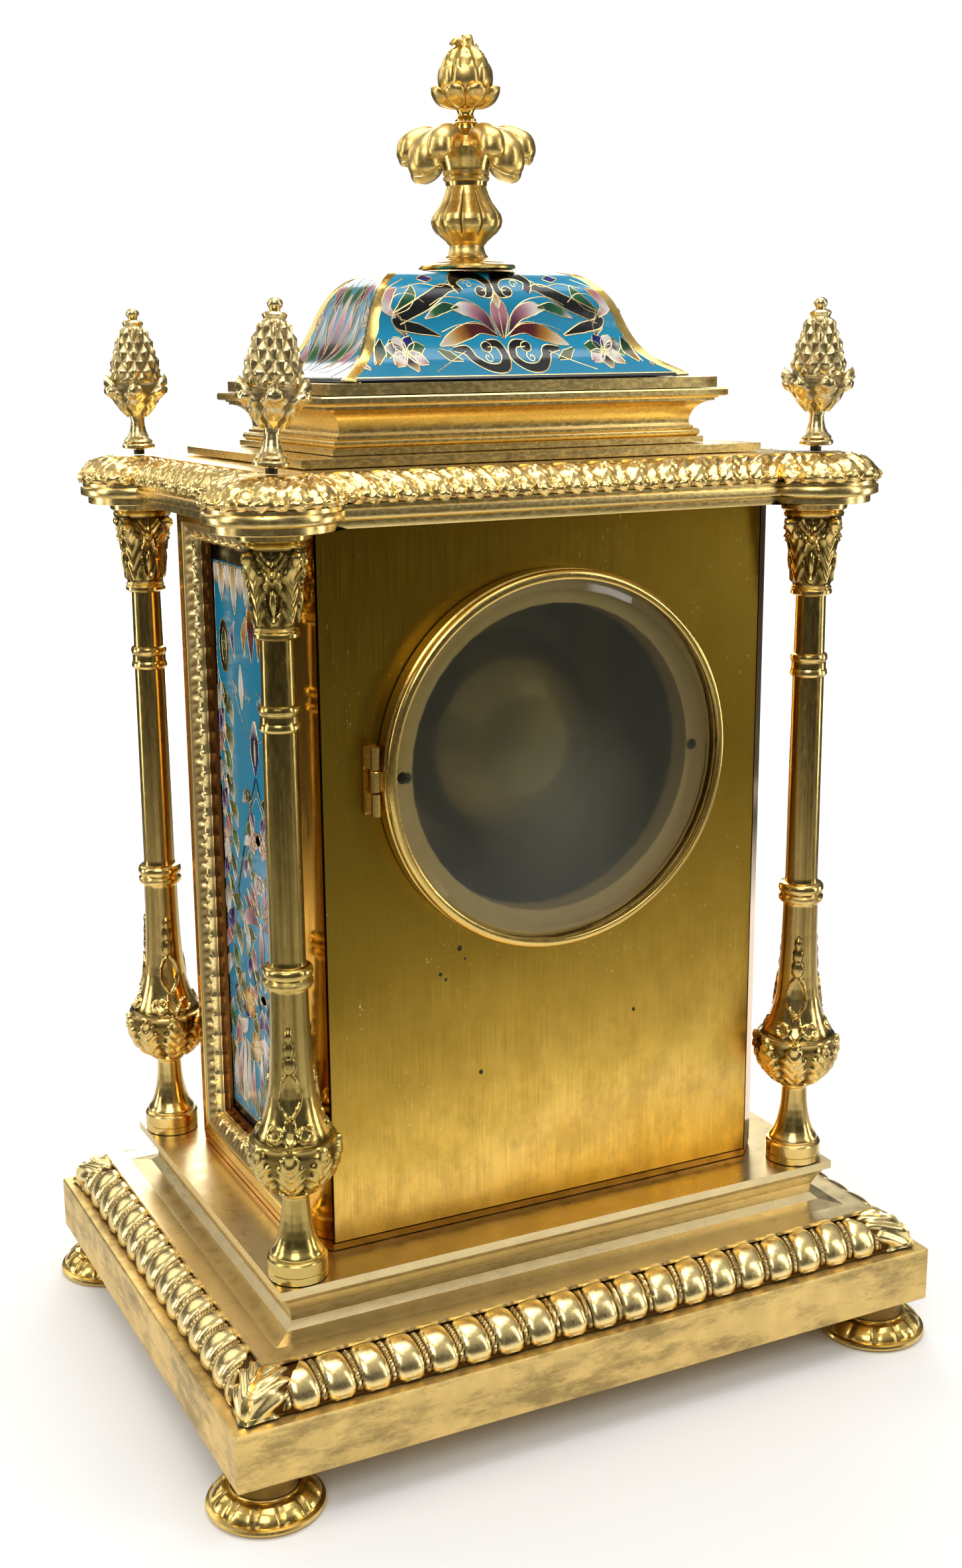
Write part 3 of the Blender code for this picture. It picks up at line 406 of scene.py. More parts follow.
def skin(name, grid, material, replaces=(), relief=None, caps=True, grime_and_shade=None):
    """A piece from a (rows, columns, 3) grid, rows from the bottom up and columns anticlockwise from above.

    relief pushes each point out along the surface normal; where it is low the metal is darkened with grime
    and painted shade.
    """
    grid = np.asarray(grid, float)
    rows, columns = grid.shape[:2]
    if relief is not None:
        grid = grid + normals_of(grid, True) * relief[..., None]
        # grime and painted shade: the lower the relief, the darker
        if grime_and_shade is None:
            top = max(float(relief.max()), 1e-9)
            grime_and_shade = 1 - relief / top
            grime_and_shade = grime_and_shade * (relief.max() - relief.min() > 1e-7)
    points = list(grid.reshape(-1, 3))
    faces = grid_faces(rows, columns, True)
    grime_and_shade = np.zeros(rows * columns) if grime_and_shade is None else np.asarray(grime_and_shade, float).ravel()
    if caps:
        for row, flip in ((0, True), (rows - 1, False)):
            points.append(grid[row].mean(0))
            centre = len(points) - 1
            grime_and_shade = np.append(grime_and_shade, 0.0)
            for j in range(columns):
                a, b = row * columns + j, row * columns + (j + 1) % columns
                faces.append((b, a, centre) if flip else (a, b, centre))
    return add_piece(name, points, faces, material, "case", replaces, grime_and_shade)


def turned_grid(profile, turns, step=0.8, centre=(0, 0, 0)):
    """A grid turned from (radius, height) millimetres, bottom up, with its angles and heights."""
    path = along(profile, step) * MM
    angle = np.arange(turns) * 2 * math.pi / turns
    r, z = path[:, 0][:, None], path[:, 1][:, None]
    grid = np.dstack([centre[0] + r * np.cos(angle), centre[1] + r * np.sin(angle),
                      centre[2] + z + 0 * angle])
    return grid, np.broadcast_to(angle, grid.shape[:2]), np.broadcast_to(z / MM, grid.shape[:2])


def acanthus(a, b, lobes=4.0, waist=0.55):
    """Height of an upright acanthus leaf, 0 to 1. a is -1 to 1 across it, b is 0 to 1 up it."""
    inside = (b > 0) & (b < 1)
    bb = np.clip(b, 0.0, 1.0)
    width = waist + (1 - waist) * np.sin(np.pi * np.clip(bb * 1.15, 0, 1)) ** 0.8
    width = width * np.sqrt(np.clip(1 - bb**5, 0, 1))
    width = width * (1 - 0.26 * np.abs(np.sin(np.pi * lobes * bb)) ** 3)
    t = np.abs(a) / np.maximum(width, 1e-6)
    body = np.sqrt(np.clip(1 - t**2.4, 0, 1))
    ribs = 0.5 + 0.5 * np.cos(2 * np.pi * lobes * (bb - 0.34 * np.abs(a)))
    vein = np.exp(-((a / 0.09) ** 2))
    height = body * (0.62 + 0.38 * ribs) + 0.22 * vein * (t < 1)
    return np.where(inside, height, 0.0)


# ---------------------------------------------------------------- turned and chased pieces


def axis_of(node):
    """The upright axis of a CAD node, as x and y, and its lowest and highest z."""
    low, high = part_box(node)
    return (low.x + high.x) / 2, (low.y + high.y) / 2, low.z, high.z


# (radius, height above the column's underside), bottom up
COLUMN = ((0, 0), (8.9, 0), (8.9, 2.0), (8.6, 2.2), (8.9, 2.4), (8.9, 5.8), (8.4, 6.4), (7.8, 6.7),
          (7.9, 7.4), (7.6, 8.0), (6.9, 9.0), (6.2, 10.4), (5.5, 12.4), (4.9, 15.0), (4.45, 17.6),
          (4.2, 20.0), (4.05, 23.0), (4.0, 24.8), (4.3, 25.3), (5.0, 25.6), (5.35, 26.4), (5.0, 27.2),
          (4.7, 27.6), (5.2, 28.0), (6.7, 28.6), (8.5, 29.8), (10.1, 31.6), (11.3, 33.7), (12.1, 36.0),
          (12.6, 38.2), (12.8, 40.2), (12.6, 41.8), (11.9, 43.0), (11.1, 44.0), (10.2, 45.6), (9.2, 47.8),
          (8.3, 50.4), (7.5, 53.4), (6.9, 56.4), (6.5, 59.8), (6.2, 64.0), (5.9, 70.0), (5.65, 78.0),
          (5.5, 87.6), (5.6, 88.2), (6.7, 88.4), (7.15, 89.2), (7.1, 90.2), (6.6, 90.8), (6.3, 91.2),
          (6.9, 91.6), (7.2, 92.6), (7.0, 93.8), (6.5, 94.4), (5.3, 94.8), (5.15, 96.0), (5.05, 125.0),
          (4.9, 161.2), (5.5, 161.5), (5.85, 162.2), (5.7, 163.2), (5.4, 163.9), (5.4, 166.0),
          (5.7, 166.5), (5.85, 167.4), (5.6, 168.3), (4.8, 168.7), (4.65, 186.4), (5.6, 186.7),
          (6.4, 187.3), (6.4, 188.2), (6.0, 188.7), (6.3, 189.1), (5.8, 189.7), (5.9, 190.4),
          (6.15, 193.0), (6.4, 196.0), (6.8, 199.6), (7.2, 203.0), (7.8, 206.8), (8.3, 209.8),
          (8.3, 210.6), (9.0, 210.9), (9.3, 211.6), (9.1, 212.2), (8.7, 212.5), (9.3, 212.8),
          (10.0, 213.4), (10.2, 215.0), (0, 215.0))


def column_relief(angle, h, turn):
    """The chasing in millimetres: bulb leaves, scrolls and drops on the flare, and the capital's leaves."""
    out = np.zeros_like(h)
    bulb = wrapped(angle - turn, math.pi / 4) / (math.pi / 8)
    leaf = acanthus(bulb, (h - 28.2) / 14.6, 4.5, 0.72)
    out += 1.55 * leaf - 0.5 * hump(bulb, 0.13) * (leaf > 0.3)
    band = hump(h - 42.8, 1.1)
    out += 0.7 * band
    spread = wrapped(angle - turn, 2 * math.pi / 3)
    radius = np.interp(h, [43, 47, 56, 64, 75], [11.6, 9.4, 7.0, 6.2, 5.8])
    x, y = spread * radius, h - 43.0
    for side in (-1, 1):
        curl = np.hypot(side * x - 4.4, y - 3.6)
        out += 0.75 * hump(curl - 1.9, 0.62) * (y > 1.2)
        stem = np.abs(side * x - 2.6 * (1 - y / 12.0) * np.clip(y / 3, 0, 1))
        out += 0.6 * hump(stem, 0.6) * ((y > 0) & (y < 8.5))
        cup = 2.9 * np.sin(np.pi * np.clip((y - 8.0) / 13.0, 0, 1)) ** 0.7
        out += 0.85 * hump(side * x - cup, 0.66) * ((y > 7.6) & (y < 21.0))
    for level, wide, tall in ((23.5, 2.0, 3.0), (28.0, 1.7, 2.6), (32.0, 1.2, 2.0)):
        bud = np.hypot(x / wide, (y - level) / tall)
        out += 0.9 * np.clip(1 - bud**2, 0, 1) ** 0.6
    across = wrapped(angle - turn, math.pi / 2) / (math.pi / 4)
    rise = (h - 190.8) / 20.0
    on_bell = (rise > 0) & (rise < 1.0) & (h < 211)
    # a leaf at each corner of the capital, whose tip curls out at the top
    corner = acanthus(wrapped(angle - turn - math.pi / 4, math.pi / 2) / (math.pi / 4) * 1.5, rise, 4.5,
                      0.55)
    out += on_bell * (0.55 + 2.1 * ease((rise - 0.55) / 0.4)) * corner
    # on each face a drop inside a pointed ring, under two sprigs that part at the top
    drop = np.hypot(across / 0.20, (rise - 0.30) / 0.17)
    loop = np.hypot(across / 0.40, (rise - 0.36) / 0.33)
    sprig = np.abs(rise - 0.70 - 0.42 * np.abs(across) ** 1.4)
    face = 1.0 * np.sqrt(np.clip(1 - drop**2, 0, 1)) + 0.75 * hump(loop - 1.0, 0.26)
    face += 0.8 * hump(sprig, 0.055) * (np.abs(across) < 0.6)
    face += 0.6 * hump(sprig - 0.11, 0.05) * (np.abs(across) < 0.5)
    face += 0.8 * hump(across, 0.10) * hump(rise - 0.86, 0.16)
    out += on_bell * np.where(corner < 0.12, face, 0.0)
    return out


def columns():
    """The four turned and chased columns. turns says where each one's leaves face."""
    turns = {"back_right": LEAF_FACING, "back_left": 0.9, "front_right": 1.5, "front_left": 0.4}
    for where, _, _ in SIDES:
        node = "column_" + where
        x, y, low, _ = axis_of(node)
        grid, angle, h = turned_grid(COLUMN, 144, 0.55, (x, y, low))
        relief = column_relief(angle, h, turns[where])
        chased = ((h > 27.8) & (h < 76)) | ((h > 190) & (h < 211.5))
        # grime and painted shade in the hollows of the chasing
        grime_and_shade = np.where(chased, 0.85 - relief / 1.4, 0.0)
        # painted shade: the plain shaft and flare darken by height and about the flare's chasing, and the
        # rings that stand out stay light
        plain = np.interp(h, [8, 12, 24, 28, 46, 60, 76, 96, 186, 190, 191],
                          [0.1, 0.40, 0.40, 0, 0.1, 0.40, 0.55, 0.62, 0.62, 0.3, 0])
        for low_ring, high_ring in ((24.7, 27.8), (87.5, 94.9), (161.2, 163.9), (166.0, 168.7),
                                    (186.4, 190.8)):
            plain = np.where((h > low_ring) & (h < high_ring), 0.15, plain)
        flare = (h > 45) & (h < 76)
        grime_and_shade = np.where(flare, plain + 0.5 * hump(relief - 0.35, 0.3), np.where(chased, grime_and_shade, plain))
        # the near column takes the darker copy of the column gilt, painted shade
        skin(node + "_chased", grid, GILT_SHADED_COLUMN if where == "back_right" else GILT_COLUMN,
             replaces=[node], relief=relief * MM, grime_and_shade=grime_and_shade)


FOOT = ((0, 0), (15.2, 0), (16.2, 0.35), (17.1, 0.9), (17.35, 1.6), (17.1, 2.3), (16.3, 2.6), (15.9, 2.7),
        (15.6, 3.4), (15.0, 4.4), (13.9, 5.5), (12.6, 6.4), (11.4, 6.9), (10.6, 7.0), (10.5, 6.9),
        (10.45, 7.3), (10.1, 7.6), (9.7, 7.6), (9.5, 8.4), (9.5, 13.2), (0, 13.2))


def feet():
    """The four bun feet, each with twelve petals."""
    for where, _, _ in SIDES:
        node = "foot_" + where
        x, y, low, _ = axis_of(node)
        grid, angle, h = turned_grid(FOOT, 144, 0.5, (x, y, low))
        petal = wrapped(angle - 0.2, math.pi / 6)
        radius = np.hypot(grid[..., 0] - x, grid[..., 1] - y) / MM
        on_bun = ease((h - 2.8) / 0.7) * ease((7.0 - h) / 0.4) * (radius > 10.6)
        edge = (math.pi / 12 - np.abs(petal)) * radius
        groove = -0.55 * hump(edge - 0.55, 0.5)
        swell = 0.5 * np.sqrt(np.clip(1 - (petal / (math.pi / 12)) ** 2, 0, 1))
        relief = on_bun * (swell + groove)
        # painted shade in the grooves between the petals, with grime, and on the neck under the base; less
        # on the petals' crowns
        skin(node + "_petals", grid, GILT_BRIGHT, replaces=[node], relief=relief * MM,
             grime_and_shade=np.where(on_bun > 0.1, 0.35 - groove * 1.3 - 0.3 * swell, 0.15 + 0.7 * (h > 7.4)))


# (radius, height above the foot), bottom up, for each casting of the top finial
URN_DISC = ((0, 0), (13.9, 0), (14.6, 0.35), (14.8, 0.9), (14.5, 1.5), (13.6, 1.8), (12.2, 2.0),
            (11.9, 2.3), (10.9, 2.6), (9.6, 2.9), (9.0, 3.3), (0, 3.4))
URN = ((0, 0), (6.3, 0), (6.4, 0.5), (5.8, 1.3), (5.3, 2.6), (5.2, 3.6), (5.9, 4.2), (6.1, 4.6),
       (7.4, 5.8), (8.9, 7.4), (9.9, 9.2), (10.2, 10.8), (9.9, 12.4), (8.9, 14.2), (7.6, 16.2),
       (6.6, 18.4), (6.0, 20.6), (5.9, 21.8), (6.6, 22.3), (7.0, 22.7), (7.0, 23.4), (6.5, 23.7),
       (7.0, 24.0), (7.0, 25.2), (0, 25.5))
BUD = ((0, 0), (3.1, 0), (3.2, 0.6), (2.5, 1.3), (2.3, 2.2), (2.7, 3.4), (3.8, 4.6), (5.6, 5.8),
       (6.4, 6.4), (6.2, 8.2), (6.7, 10.4), (7.2, 12.6), (7.1, 14.6), (6.2, 17.0), (4.8, 19.0),
       (3.4, 20.6), (2.0, 22.0), (0, 22.4))


def bent_leaf(points, widths, thick, ribs=0.0, across=9, along_count=22, cup=0.0):
    """A curled leaf as a closed grid, from its (radius, height) spine and its half widths in millimetres.

    It comes back as (rows, columns, 3) with x outward, y across and z up, ready to be turned about the axis.
    """
    spine = curve_through(points, along_count)
    half = np.interp(np.linspace(0, 1, along_count), np.linspace(0, 1, len(widths)), widths)
    tangent = np.gradient(spine, axis=0)
    tangent /= np.linalg.norm(tangent, axis=1, keepdims=True)
    outward = np.stack([tangent[:, 1], -tangent[:, 0]], 1)
    around = np.linspace(0, 2 * math.pi, 2 * across, endpoint=False)
    rows = []
    for i in range(along_count):
        y = half[i] * np.cos(around)
        lift = np.sin(around) * thick * (0.35 + 0.65 * min(1.0, half[i] / max(widths)))
        lift = lift + ribs * np.cos(3 * math.pi * np.cos(around)) * (np.sin(around) > 0)
        lift = lift - cup * (np.cos(around) ** 2) * half[i]
        x = spine[i, 0] + outward[i, 0] * lift
        z = spine[i, 1] + outward[i, 1] * lift
        rows.append(np.stack([x, y, z], 1))
    return np.array(rows)


def join_round(name, leaves, axis, material, replaces=(), grime_and_shade=None):
    """One piece from leaf grids in millimetres, each turned about a vertical axis by its own angle."""
    points, faces, dark = [], [], []
    for grid, angle in leaves:
        rows, columns = grid.shape[:2]
        c, s = math.cos(angle), math.sin(angle)
        x, y, z = grid[..., 0], grid[..., 1], grid[..., 2]
        world = np.stack([axis[0] + (x * c - y * s) * MM, axis[1] + (x * s + y * c) * MM,
                          axis[2] + z * MM], 2)
        first = len(points)
        points += list(world.reshape(-1, 3))
        faces += grid_faces(rows, columns, True, first)
        for row in (0, rows - 1):
            faces.append(tuple(first + row * columns + j for j in range(columns)))
        dark += list((np.zeros((rows, columns)) if grime_and_shade is None else grime_and_shade(grid)).ravel())
    face_outwards(add_piece(name, points, faces, material, "case", replaces, np.array(dark)))


def top_finial():
    """The urn's disc and fluted vase, with the crown and the bud above them."""
    x, y, low, _ = axis_of("urn_foot_disc")
    grid, _, _ = turned_grid(URN_DISC, 96, 0.6, (x, y, low))
    skin("urn_disc_turned", grid, GILT_BRIGHT, replaces=["urn_foot_disc"])
    x, y, low, _ = axis_of("urn_vase")
    grid, angle, h = turned_grid(URN, 160, 0.5, (x, y, low))
    flute = wrapped(angle, math.pi / 5) / (math.pi / 10)
    on_vase = ease((h - 5.0) / 3.0) * ease((21.6 - h) / 4.0)
    round_top = np.sqrt(np.clip(1 - np.abs(flute) ** 2.2, 0, 1))
    relief = on_vase * (0.35 * round_top + 0.55 * round_top * hump(h - 10.5, 6.5) - 0.2)
    # grime and painted shade in the flutes
    skin("urn_vase_fluted", grid, GILT_SATIN, replaces=["urn_vase"], relief=relief * MM,
         grime_and_shade=on_vase * (0.95 - round_top))
    scroll_crown()
    flame_bud()


def lobe(long, swell):
    """One fat rolled lobe of the crown, as a grid from its root at the middle to its curled end."""
    if long:
        path = [(3.0, 10.5), (8.0, 12.2), (13.2, 11.6), (16.4, 8.8), (16.9, 5.8), (15.6, 3.4)]
    else:
        path = [(2.5, 10.5), (8.0, 13.2), (13.4, 13.5), (17.2, 11.8), (18.2, 9.6), (17.4, 8.2)]
    spine = curve_through(path, 40)
    t = np.linspace(0, 1, len(spine))
    radius = swell * np.interp(t, [0, 0.25, 0.5, 0.78, 1], [0.50, 0.76, 0.92, 1.0, 1.0])
    radius = radius * np.sqrt(np.clip(1 - np.clip((t - 0.80) / 0.202, 0, 1) ** 2, 0.01, 1))
    tangent = np.gradient(spine, axis=0)
    tangent /= np.linalg.norm(tangent, axis=1, keepdims=True)
    outward = np.stack([-tangent[:, 1], tangent[:, 0]], 1)
    around = np.linspace(0, 2 * math.pi, 28, endpoint=False)
    crease = 1 - 0.05 * np.exp(-((wrapped(around - math.pi / 2, 2 * math.pi) / 0.30) ** 2))
    rows = []
    for i in range(len(spine)):
        r = radius[i] * crease * (1 + 0.02 * math.sin(7 * t[i] * math.pi))
        lift, side = np.sin(around) * r, np.cos(around) * r
        rows.append(np.stack([spine[i, 0] + outward[i, 0] * lift, side,
                              spine[i, 1] + outward[i, 1] * lift], 1))
    return np.array(rows)


def scroll_crown():
    """A crown of fat lobes that roll outwards and down, long ones at the corners and short ones between."""
    x, y, low, _ = axis_of("scroll_crown")
    leaves = []
    for k in range(4):
        quarter = LEAF_FACING + k * math.pi / 2
        leaves.append((lobe(True, 5.4), quarter + math.pi / 4))
        for side in (-1, 1):
            leaves.append((lobe(False, 4.2), quarter + side * 0.42))

    # painted shade: the lobes darken low down and towards the core between them
    def dark(grid):
        out = np.hypot(grid[..., 0], grid[..., 1])
        return 0.25 * (grid[..., 2] < 5.0) + 0.65 * np.clip(1 - out / 9.0, 0, 1)

    join_round("crown_lobes", leaves, (x, y, low), GILT_SATIN, replaces=["scroll_crown"], grime_and_shade=dark)
    core = ((0, 0.2), (6.2, 0.2), (6.4, 2.0), (7.0, 5.0), (8.0, 8.0), (8.8, 11.0), (7.6, 14.0),
            (5.0, 15.8), (3.4, 16.6), (3.3, 17.4), (3.9, 17.9), (3.6, 18.3), (0, 18.35))
    grid, _, _ = turned_grid(core, 64, 0.6, (x, y, low))
    skin("crown_core", grid, GILT_BRIGHT, grime_and_shade=np.full(grid.shape[:2], 0.25))


def flame_bud():
    """The bud: a cup of spoon-shaped petals, overlapping leaves above it and curled tips at the top."""
    x, y, low, _ = axis_of("flame_bud")
    grid, angle, h = turned_grid(BUD, 96, 0.5, (x, y, low))
    ridge = wrapped(angle, math.pi / 3) / (math.pi / 6)
    relief = 0.9 * (1 - np.abs(ridge) ** 2) * ease((h - 7) / 3) * ease((22 - h) / 3)
    # grime and painted shade in the grooves between the ridges
    skin("bud_core", grid, GILT_BRIGHT, replaces=["flame_bud"], relief=relief * MM,
         grime_and_shade=0.65 * np.abs(ridge) ** 2 * (h > 7))
    leaves = []
    for k in range(8):
        petal = bent_leaf([(2.4, 4.2), (5.4, 4.7), (8.1, 6.1), (9.7, 8.4), (10.4, 9.6)],
                          (1.0, 2.3, 3.3, 3.1, 1.2), 1.2, 0.0, 8, 16, 0.14)
        leaves.append((petal, LEAF_FACING + math.pi / 8 + k * math.pi / 4))
    for k in range(6):
        leaf = bent_leaf([(5.0, 6.4), (6.9, 10.5), (6.9, 14.2), (5.4, 17.2), (5.6, 19.0)],
                         (2.4, 3.9, 3.6, 2.4, 0.8), 1.25, 0.12, 8, 18, 0.05)
        leaves.append((leaf, LEAF_FACING + k * math.pi / 3))
    for k, (reach, top) in enumerate(((3.2, 23.2), (1.4, 24.3), (2.6, 22.2), (2.2, 23.0))):
        tip = bent_leaf([(3.4, 17.6), (2.4, 20.0), (1.7, top - 1.8), (reach, top - 0.5),
                         (reach + 1.4, top - 1.6)], (2.2, 2.4, 2.0, 1.8, 1.0), 1.0, 0.05, 7, 16, 0.05)
        leaves.append((tip, LEAF_FACING - 1.1 + k * math.pi / 2))
    # painted shade: the leaves darken low down and towards the middle
    join_round("bud_leaves", leaves, (x, y, low), GILT_SATIN,
               grime_and_shade=lambda g: 0.3 * (g[..., 2] < 6) + 0.5 * np.clip(1 - g[..., 0] / 6.0, 0, 1))


# (radius, height above the stud's foot)
PINEAPPLE = ((0, 0), (1.66, 0), (1.66, 1.9), (4.6, 1.9), (5.1, 2.2), (5.2, 2.9), (4.9, 3.4), (4.4, 3.7),
             (4.7, 4.1), (4.3, 4.7), (3.4, 5.6), (2.7, 7.0), (2.3, 8.8), (2.1, 10.6), (2.3, 11.8),
             (3.4, 12.8), (4.9, 14.2), (6.4, 16.2), (7.7, 18.4), (8.4, 20.4), (8.2, 21.8), (7.4, 22.6),
             (7.5, 23.4), (7.6, 25.0), (7.1, 28.0), (6.2, 31.4), (5.0, 35.0), (3.7, 38.2), (2.9, 39.6),
             (3.2, 40.2), (3.4, 40.8), (2.9, 41.4), (1.4, 41.9), (1.5, 42.3), (2.0, 43.0), (2.1, 43.7),
             (1.8, 44.5), (1.0, 45.1), (0, 45.2))


def pineapples():
    """Corner finials: a dark stud, a moulded foot, an acanthus cup and a cone of pointed scales."""
    for where, _, _ in SIDES:
        node = "pineapple_finial_" + where
        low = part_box(node)[0]
        cx, cy, _, _ = axis_of("column_" + where)
        grid, angle, h = turned_grid(PINEAPPLE, 128, 0.42, (0, 0, 0))
        row = (h - 23.0) / 2.9
        count = 10
        skew = angle / (2 * math.pi) * count
        u, v = (skew + row / 2) % 1.0 - 0.5, (skew - row / 2) % 1.0 - 0.5
        scale = np.clip(1 - 2 * np.maximum(np.abs(u), np.abs(v)), 0, 1)
        on_cone = ease((h - 22.9) / 0.8) * ease((39.4 - h) / 1.0)
        relief = on_cone * (1.15 * scale**0.85 - 0.2)
        cup = wrapped(angle - 0.2, math.pi / 3) / (math.pi / 6)
        leaf = acanthus(cup, (h - 12.2) / 10.2, 3.0, 0.8)
        flare = 0.8 + 2.3 * ease((h - 17.0) / 4.5)
        on_cup = (h > 12.0) & (h < 22.5)
        relief = relief + on_cup * flare * leaf
        # grime and painted shade between the scales and between the cup's leaves
        grime_and_shade = on_cone * (0.75 - scale) + on_cup * (0.8 - 0.9 * leaf)
        lean = NEAR_FINIAL_LEAN if where == "back_right" else 0.0
        grid = grid + normals_of(grid, True) * (relief * MM)[..., None]
        z = grid[..., 2].copy()
        grid[..., 2] = z * math.cos(lean) - grid[..., 0] * math.sin(lean)
        grid[..., 0] = grid[..., 0] * math.cos(lean) + z * math.sin(lean)
        grid += np.array([cx, cy, low.z + (0.0001 if lean else 0.0)])
        stud = (h < 1.9).all(axis=1)
        split = int(stud.sum())
        skin(node + "_cone", grid[split - 1:], GILT_PALE, replaces=[node],
             grime_and_shade=np.clip(grime_and_shade[split - 1:], 0, 1), caps=True)
        skin(node + "_stud", grid[:split], DARK)


# ---------------------------------------------------------------- mitred mouldings


def mitred(name, half_x, half_y, base_z, section, relief, material, step=0.55, replaces=(), grime_and_shade=None):
    """Four mitred lengths of moulding about a rectangle, as one piece.

    section is a list of (inset, height) points in millimetres from the foot of the outer face upwards.
    relief(s, t, half) gives the chasing in millimetres: s runs along a side from its middle, t is 0 to 1
    up the section and half is the side's half length at that height.
    """
    points, faces, dark = [], [], []
    path = along(section, 0.42)
    t = np.linspace(0, 1, len(path))
    sides = ((0, half_x, half_y), (1, half_y, half_x), (2, half_x, half_y), (3, half_y, half_x))
    for turn, half, out in sides:
        reach = half - path[:, 0] * MM
        columns = int(2 * half / (step * MM))
        share = np.linspace(-1, 1, columns)
        s = reach[:, None] * share[None, :]
        depth = (out - path[:, 0] * MM)[:, None] + 0 * s
        z = base_z + path[:, 1][:, None] * MM + 0 * s
        grid = np.stack([s, -depth, z], 2)
        angle = turn * math.pi / 2
        c, sn = round(math.cos(angle)), round(math.sin(angle))
        grid = np.stack([grid[..., 0] * c - grid[..., 1] * sn, grid[..., 0] * sn + grid[..., 1] * c,
                         grid[..., 2]], 2)
        height = relief(s / MM, t[:, None] + 0 * s, reach[:, None] / MM + 0 * s)
        seam = np.clip((reach[:, None] - np.abs(s)) / (0.5 * MM), 0, 1)
        grid = grid + normals_of(grid, False) * (height * seam * MM)[..., None]
        first = len(points)
        points += list(grid.reshape(-1, 3))
        faces += grid_faces(len(path), columns, False, first)
        dark += list((grime_and_shade(s / MM, t[:, None] + 0 * s, height) if grime_and_shade else 0 * s).ravel())
    return add_piece(name, points, faces, material, "case", replaces, np.array(dark))


def gadroons(s, t, half):
    """Egg-shaped lobes that lean from each side's middle, with ridges between and corner leaves."""
    pitch = 10.8
    lean = np.clip(s / 30.0, -1, 1) * 1.5 * (t - 0.3)
    a = wrapped(s - lean, pitch) / pitch
    width = 0.41 - 0.04 * t
    egg = np.sqrt(np.clip(1 - np.abs(a / width) ** 2.6 - np.abs((t - 0.5) / 0.5) ** 7, 0, 1))
    ridge = hump(np.abs(a) - 0.47, 0.045) * ease((0.97 - t) / 0.1) * ease((t - 0.05) / 0.1)
    out = 1.45 * egg + 0.75 * ridge
    edge = half - np.abs(s)
    leaf = acanthus(np.clip(edge / 11.5, 0, 1.2), 0.04 + 0.93 * t, 3.5, 0.9)
    return np.where(edge < 11.0, 1.6 * leaf, out) - 0.15


def gadroon_dark(s, t, height):
    """The moulding is darkened with grime and painted shade where its relief is low."""
    return np.clip(0.85 - height / 1.1, 0, 1)


def base_moulding():
    """The quarter-round moulding of the plinth."""
    low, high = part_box("gadroon_moulding")
    run, rise = 10.3, (high.z - low.z) / MM
    section = [(0.0, 0.0), (0.3, 0.7)]
    section += [(0.6 + run * (1 - math.cos(a)) * 0.94, 0.8 + (rise - 0.9) * math.sin(a))
                for a in np.linspace(0, math.pi / 2, 18)]
    mitred("gadroon_band", high.x - 1.4 * MM, high.y - 1.4 * MM, low.z, section, gadroons, GILT_CHASED,
           replaces=["gadroon_moulding"], grime_and_shade=gadroon_dark)


def attic_moulding():
    """The waist of the attic: a stepped foot and roll, a cove that sweeps outwards, and a square lip."""
    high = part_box("attic_cavetto")[1]
    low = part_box("attic_cavetto")[0]
    section = [(5.2, 0.0), (5.2, 1.7), (5.5, 1.9), (6.1, 1.9)]
    section += [(6.9 - 0.9 * math.sin(a), 3.1 - 1.1 * math.cos(a)) for a in np.linspace(0.2, math.pi, 9)]
    section += [(7.5, 4.3), (7.5, 5.0), (8.1, 5.1)]
    section += [(2.9 + 5.6 * math.cos(a), 6.0 + 6.6 * math.sin(a))
                for a in np.linspace(0.0, math.pi / 2, 12)]
    section += [(2.9, 13.3), (2.2, 13.4), (2.0, 13.9), (0.4, 14.0), (0.0, 14.3), (0.0, 15.8), (0.4, 16.2),
                (4.0, 16.2)]

    # painted shade: dark lines in the creases between the steps, and the ledge under the top slab darkened
    def painted_recess_shade(s, t, height):
        lines = 0.5 * hump(t - 0.115, 0.02) + 0.4 * hump(t - 0.30, 0.03) + 0.25 * hump(t - 0.74, 0.04)
        return lines + 0.9 * (t > 0.915)

    mitred("attic_waist", high.x, high.y, low.z, section, lambda s, t, half: 0 * s, GILT_ATTIC, 1.5,
           replaces=["attic_cavetto"], grime_and_shade=painted_recess_shade)


def lobed_row(run, radius, z):
    """One level of the cornice: straight sides with round lobes about the column axes."""
    cx, cy, _, _ = axis_of("column_back_right")
    arcs, step = 96, 0.6    # points round a lobe, and millimetres between those on the straights
    reach = math.acos(max(-1.0, min(1.0, run / radius)))
    swing = [math.pi / 4 + (i / (arcs - 1) * 2 - 1) * (math.pi / 4 + reach) for i in range(arcs)]
    corner = [(cx + radius * MM * math.cos(a), cy + radius * MM * math.sin(a)) for a in swing]
    quarter = [corner, [(-x, y) for x, y in reversed(corner)], [(-x, -y) for x, y in corner],
               [(x, -y) for x, y in reversed(corner)]]
    points = []
    for k in range(4):
        points += quarter[k]
        a, b = np.array(quarter[k][-1]), np.array(quarter[(k + 1) % 4][0])
        count = int(2 * (cx if k % 2 == 0 else cy) / (step * MM) * 0.85)
        points += [tuple(a + (b - a) * (i + 1) / (count + 1)) for i in range(count)]
    return [(x, y, z) for x, y in points]


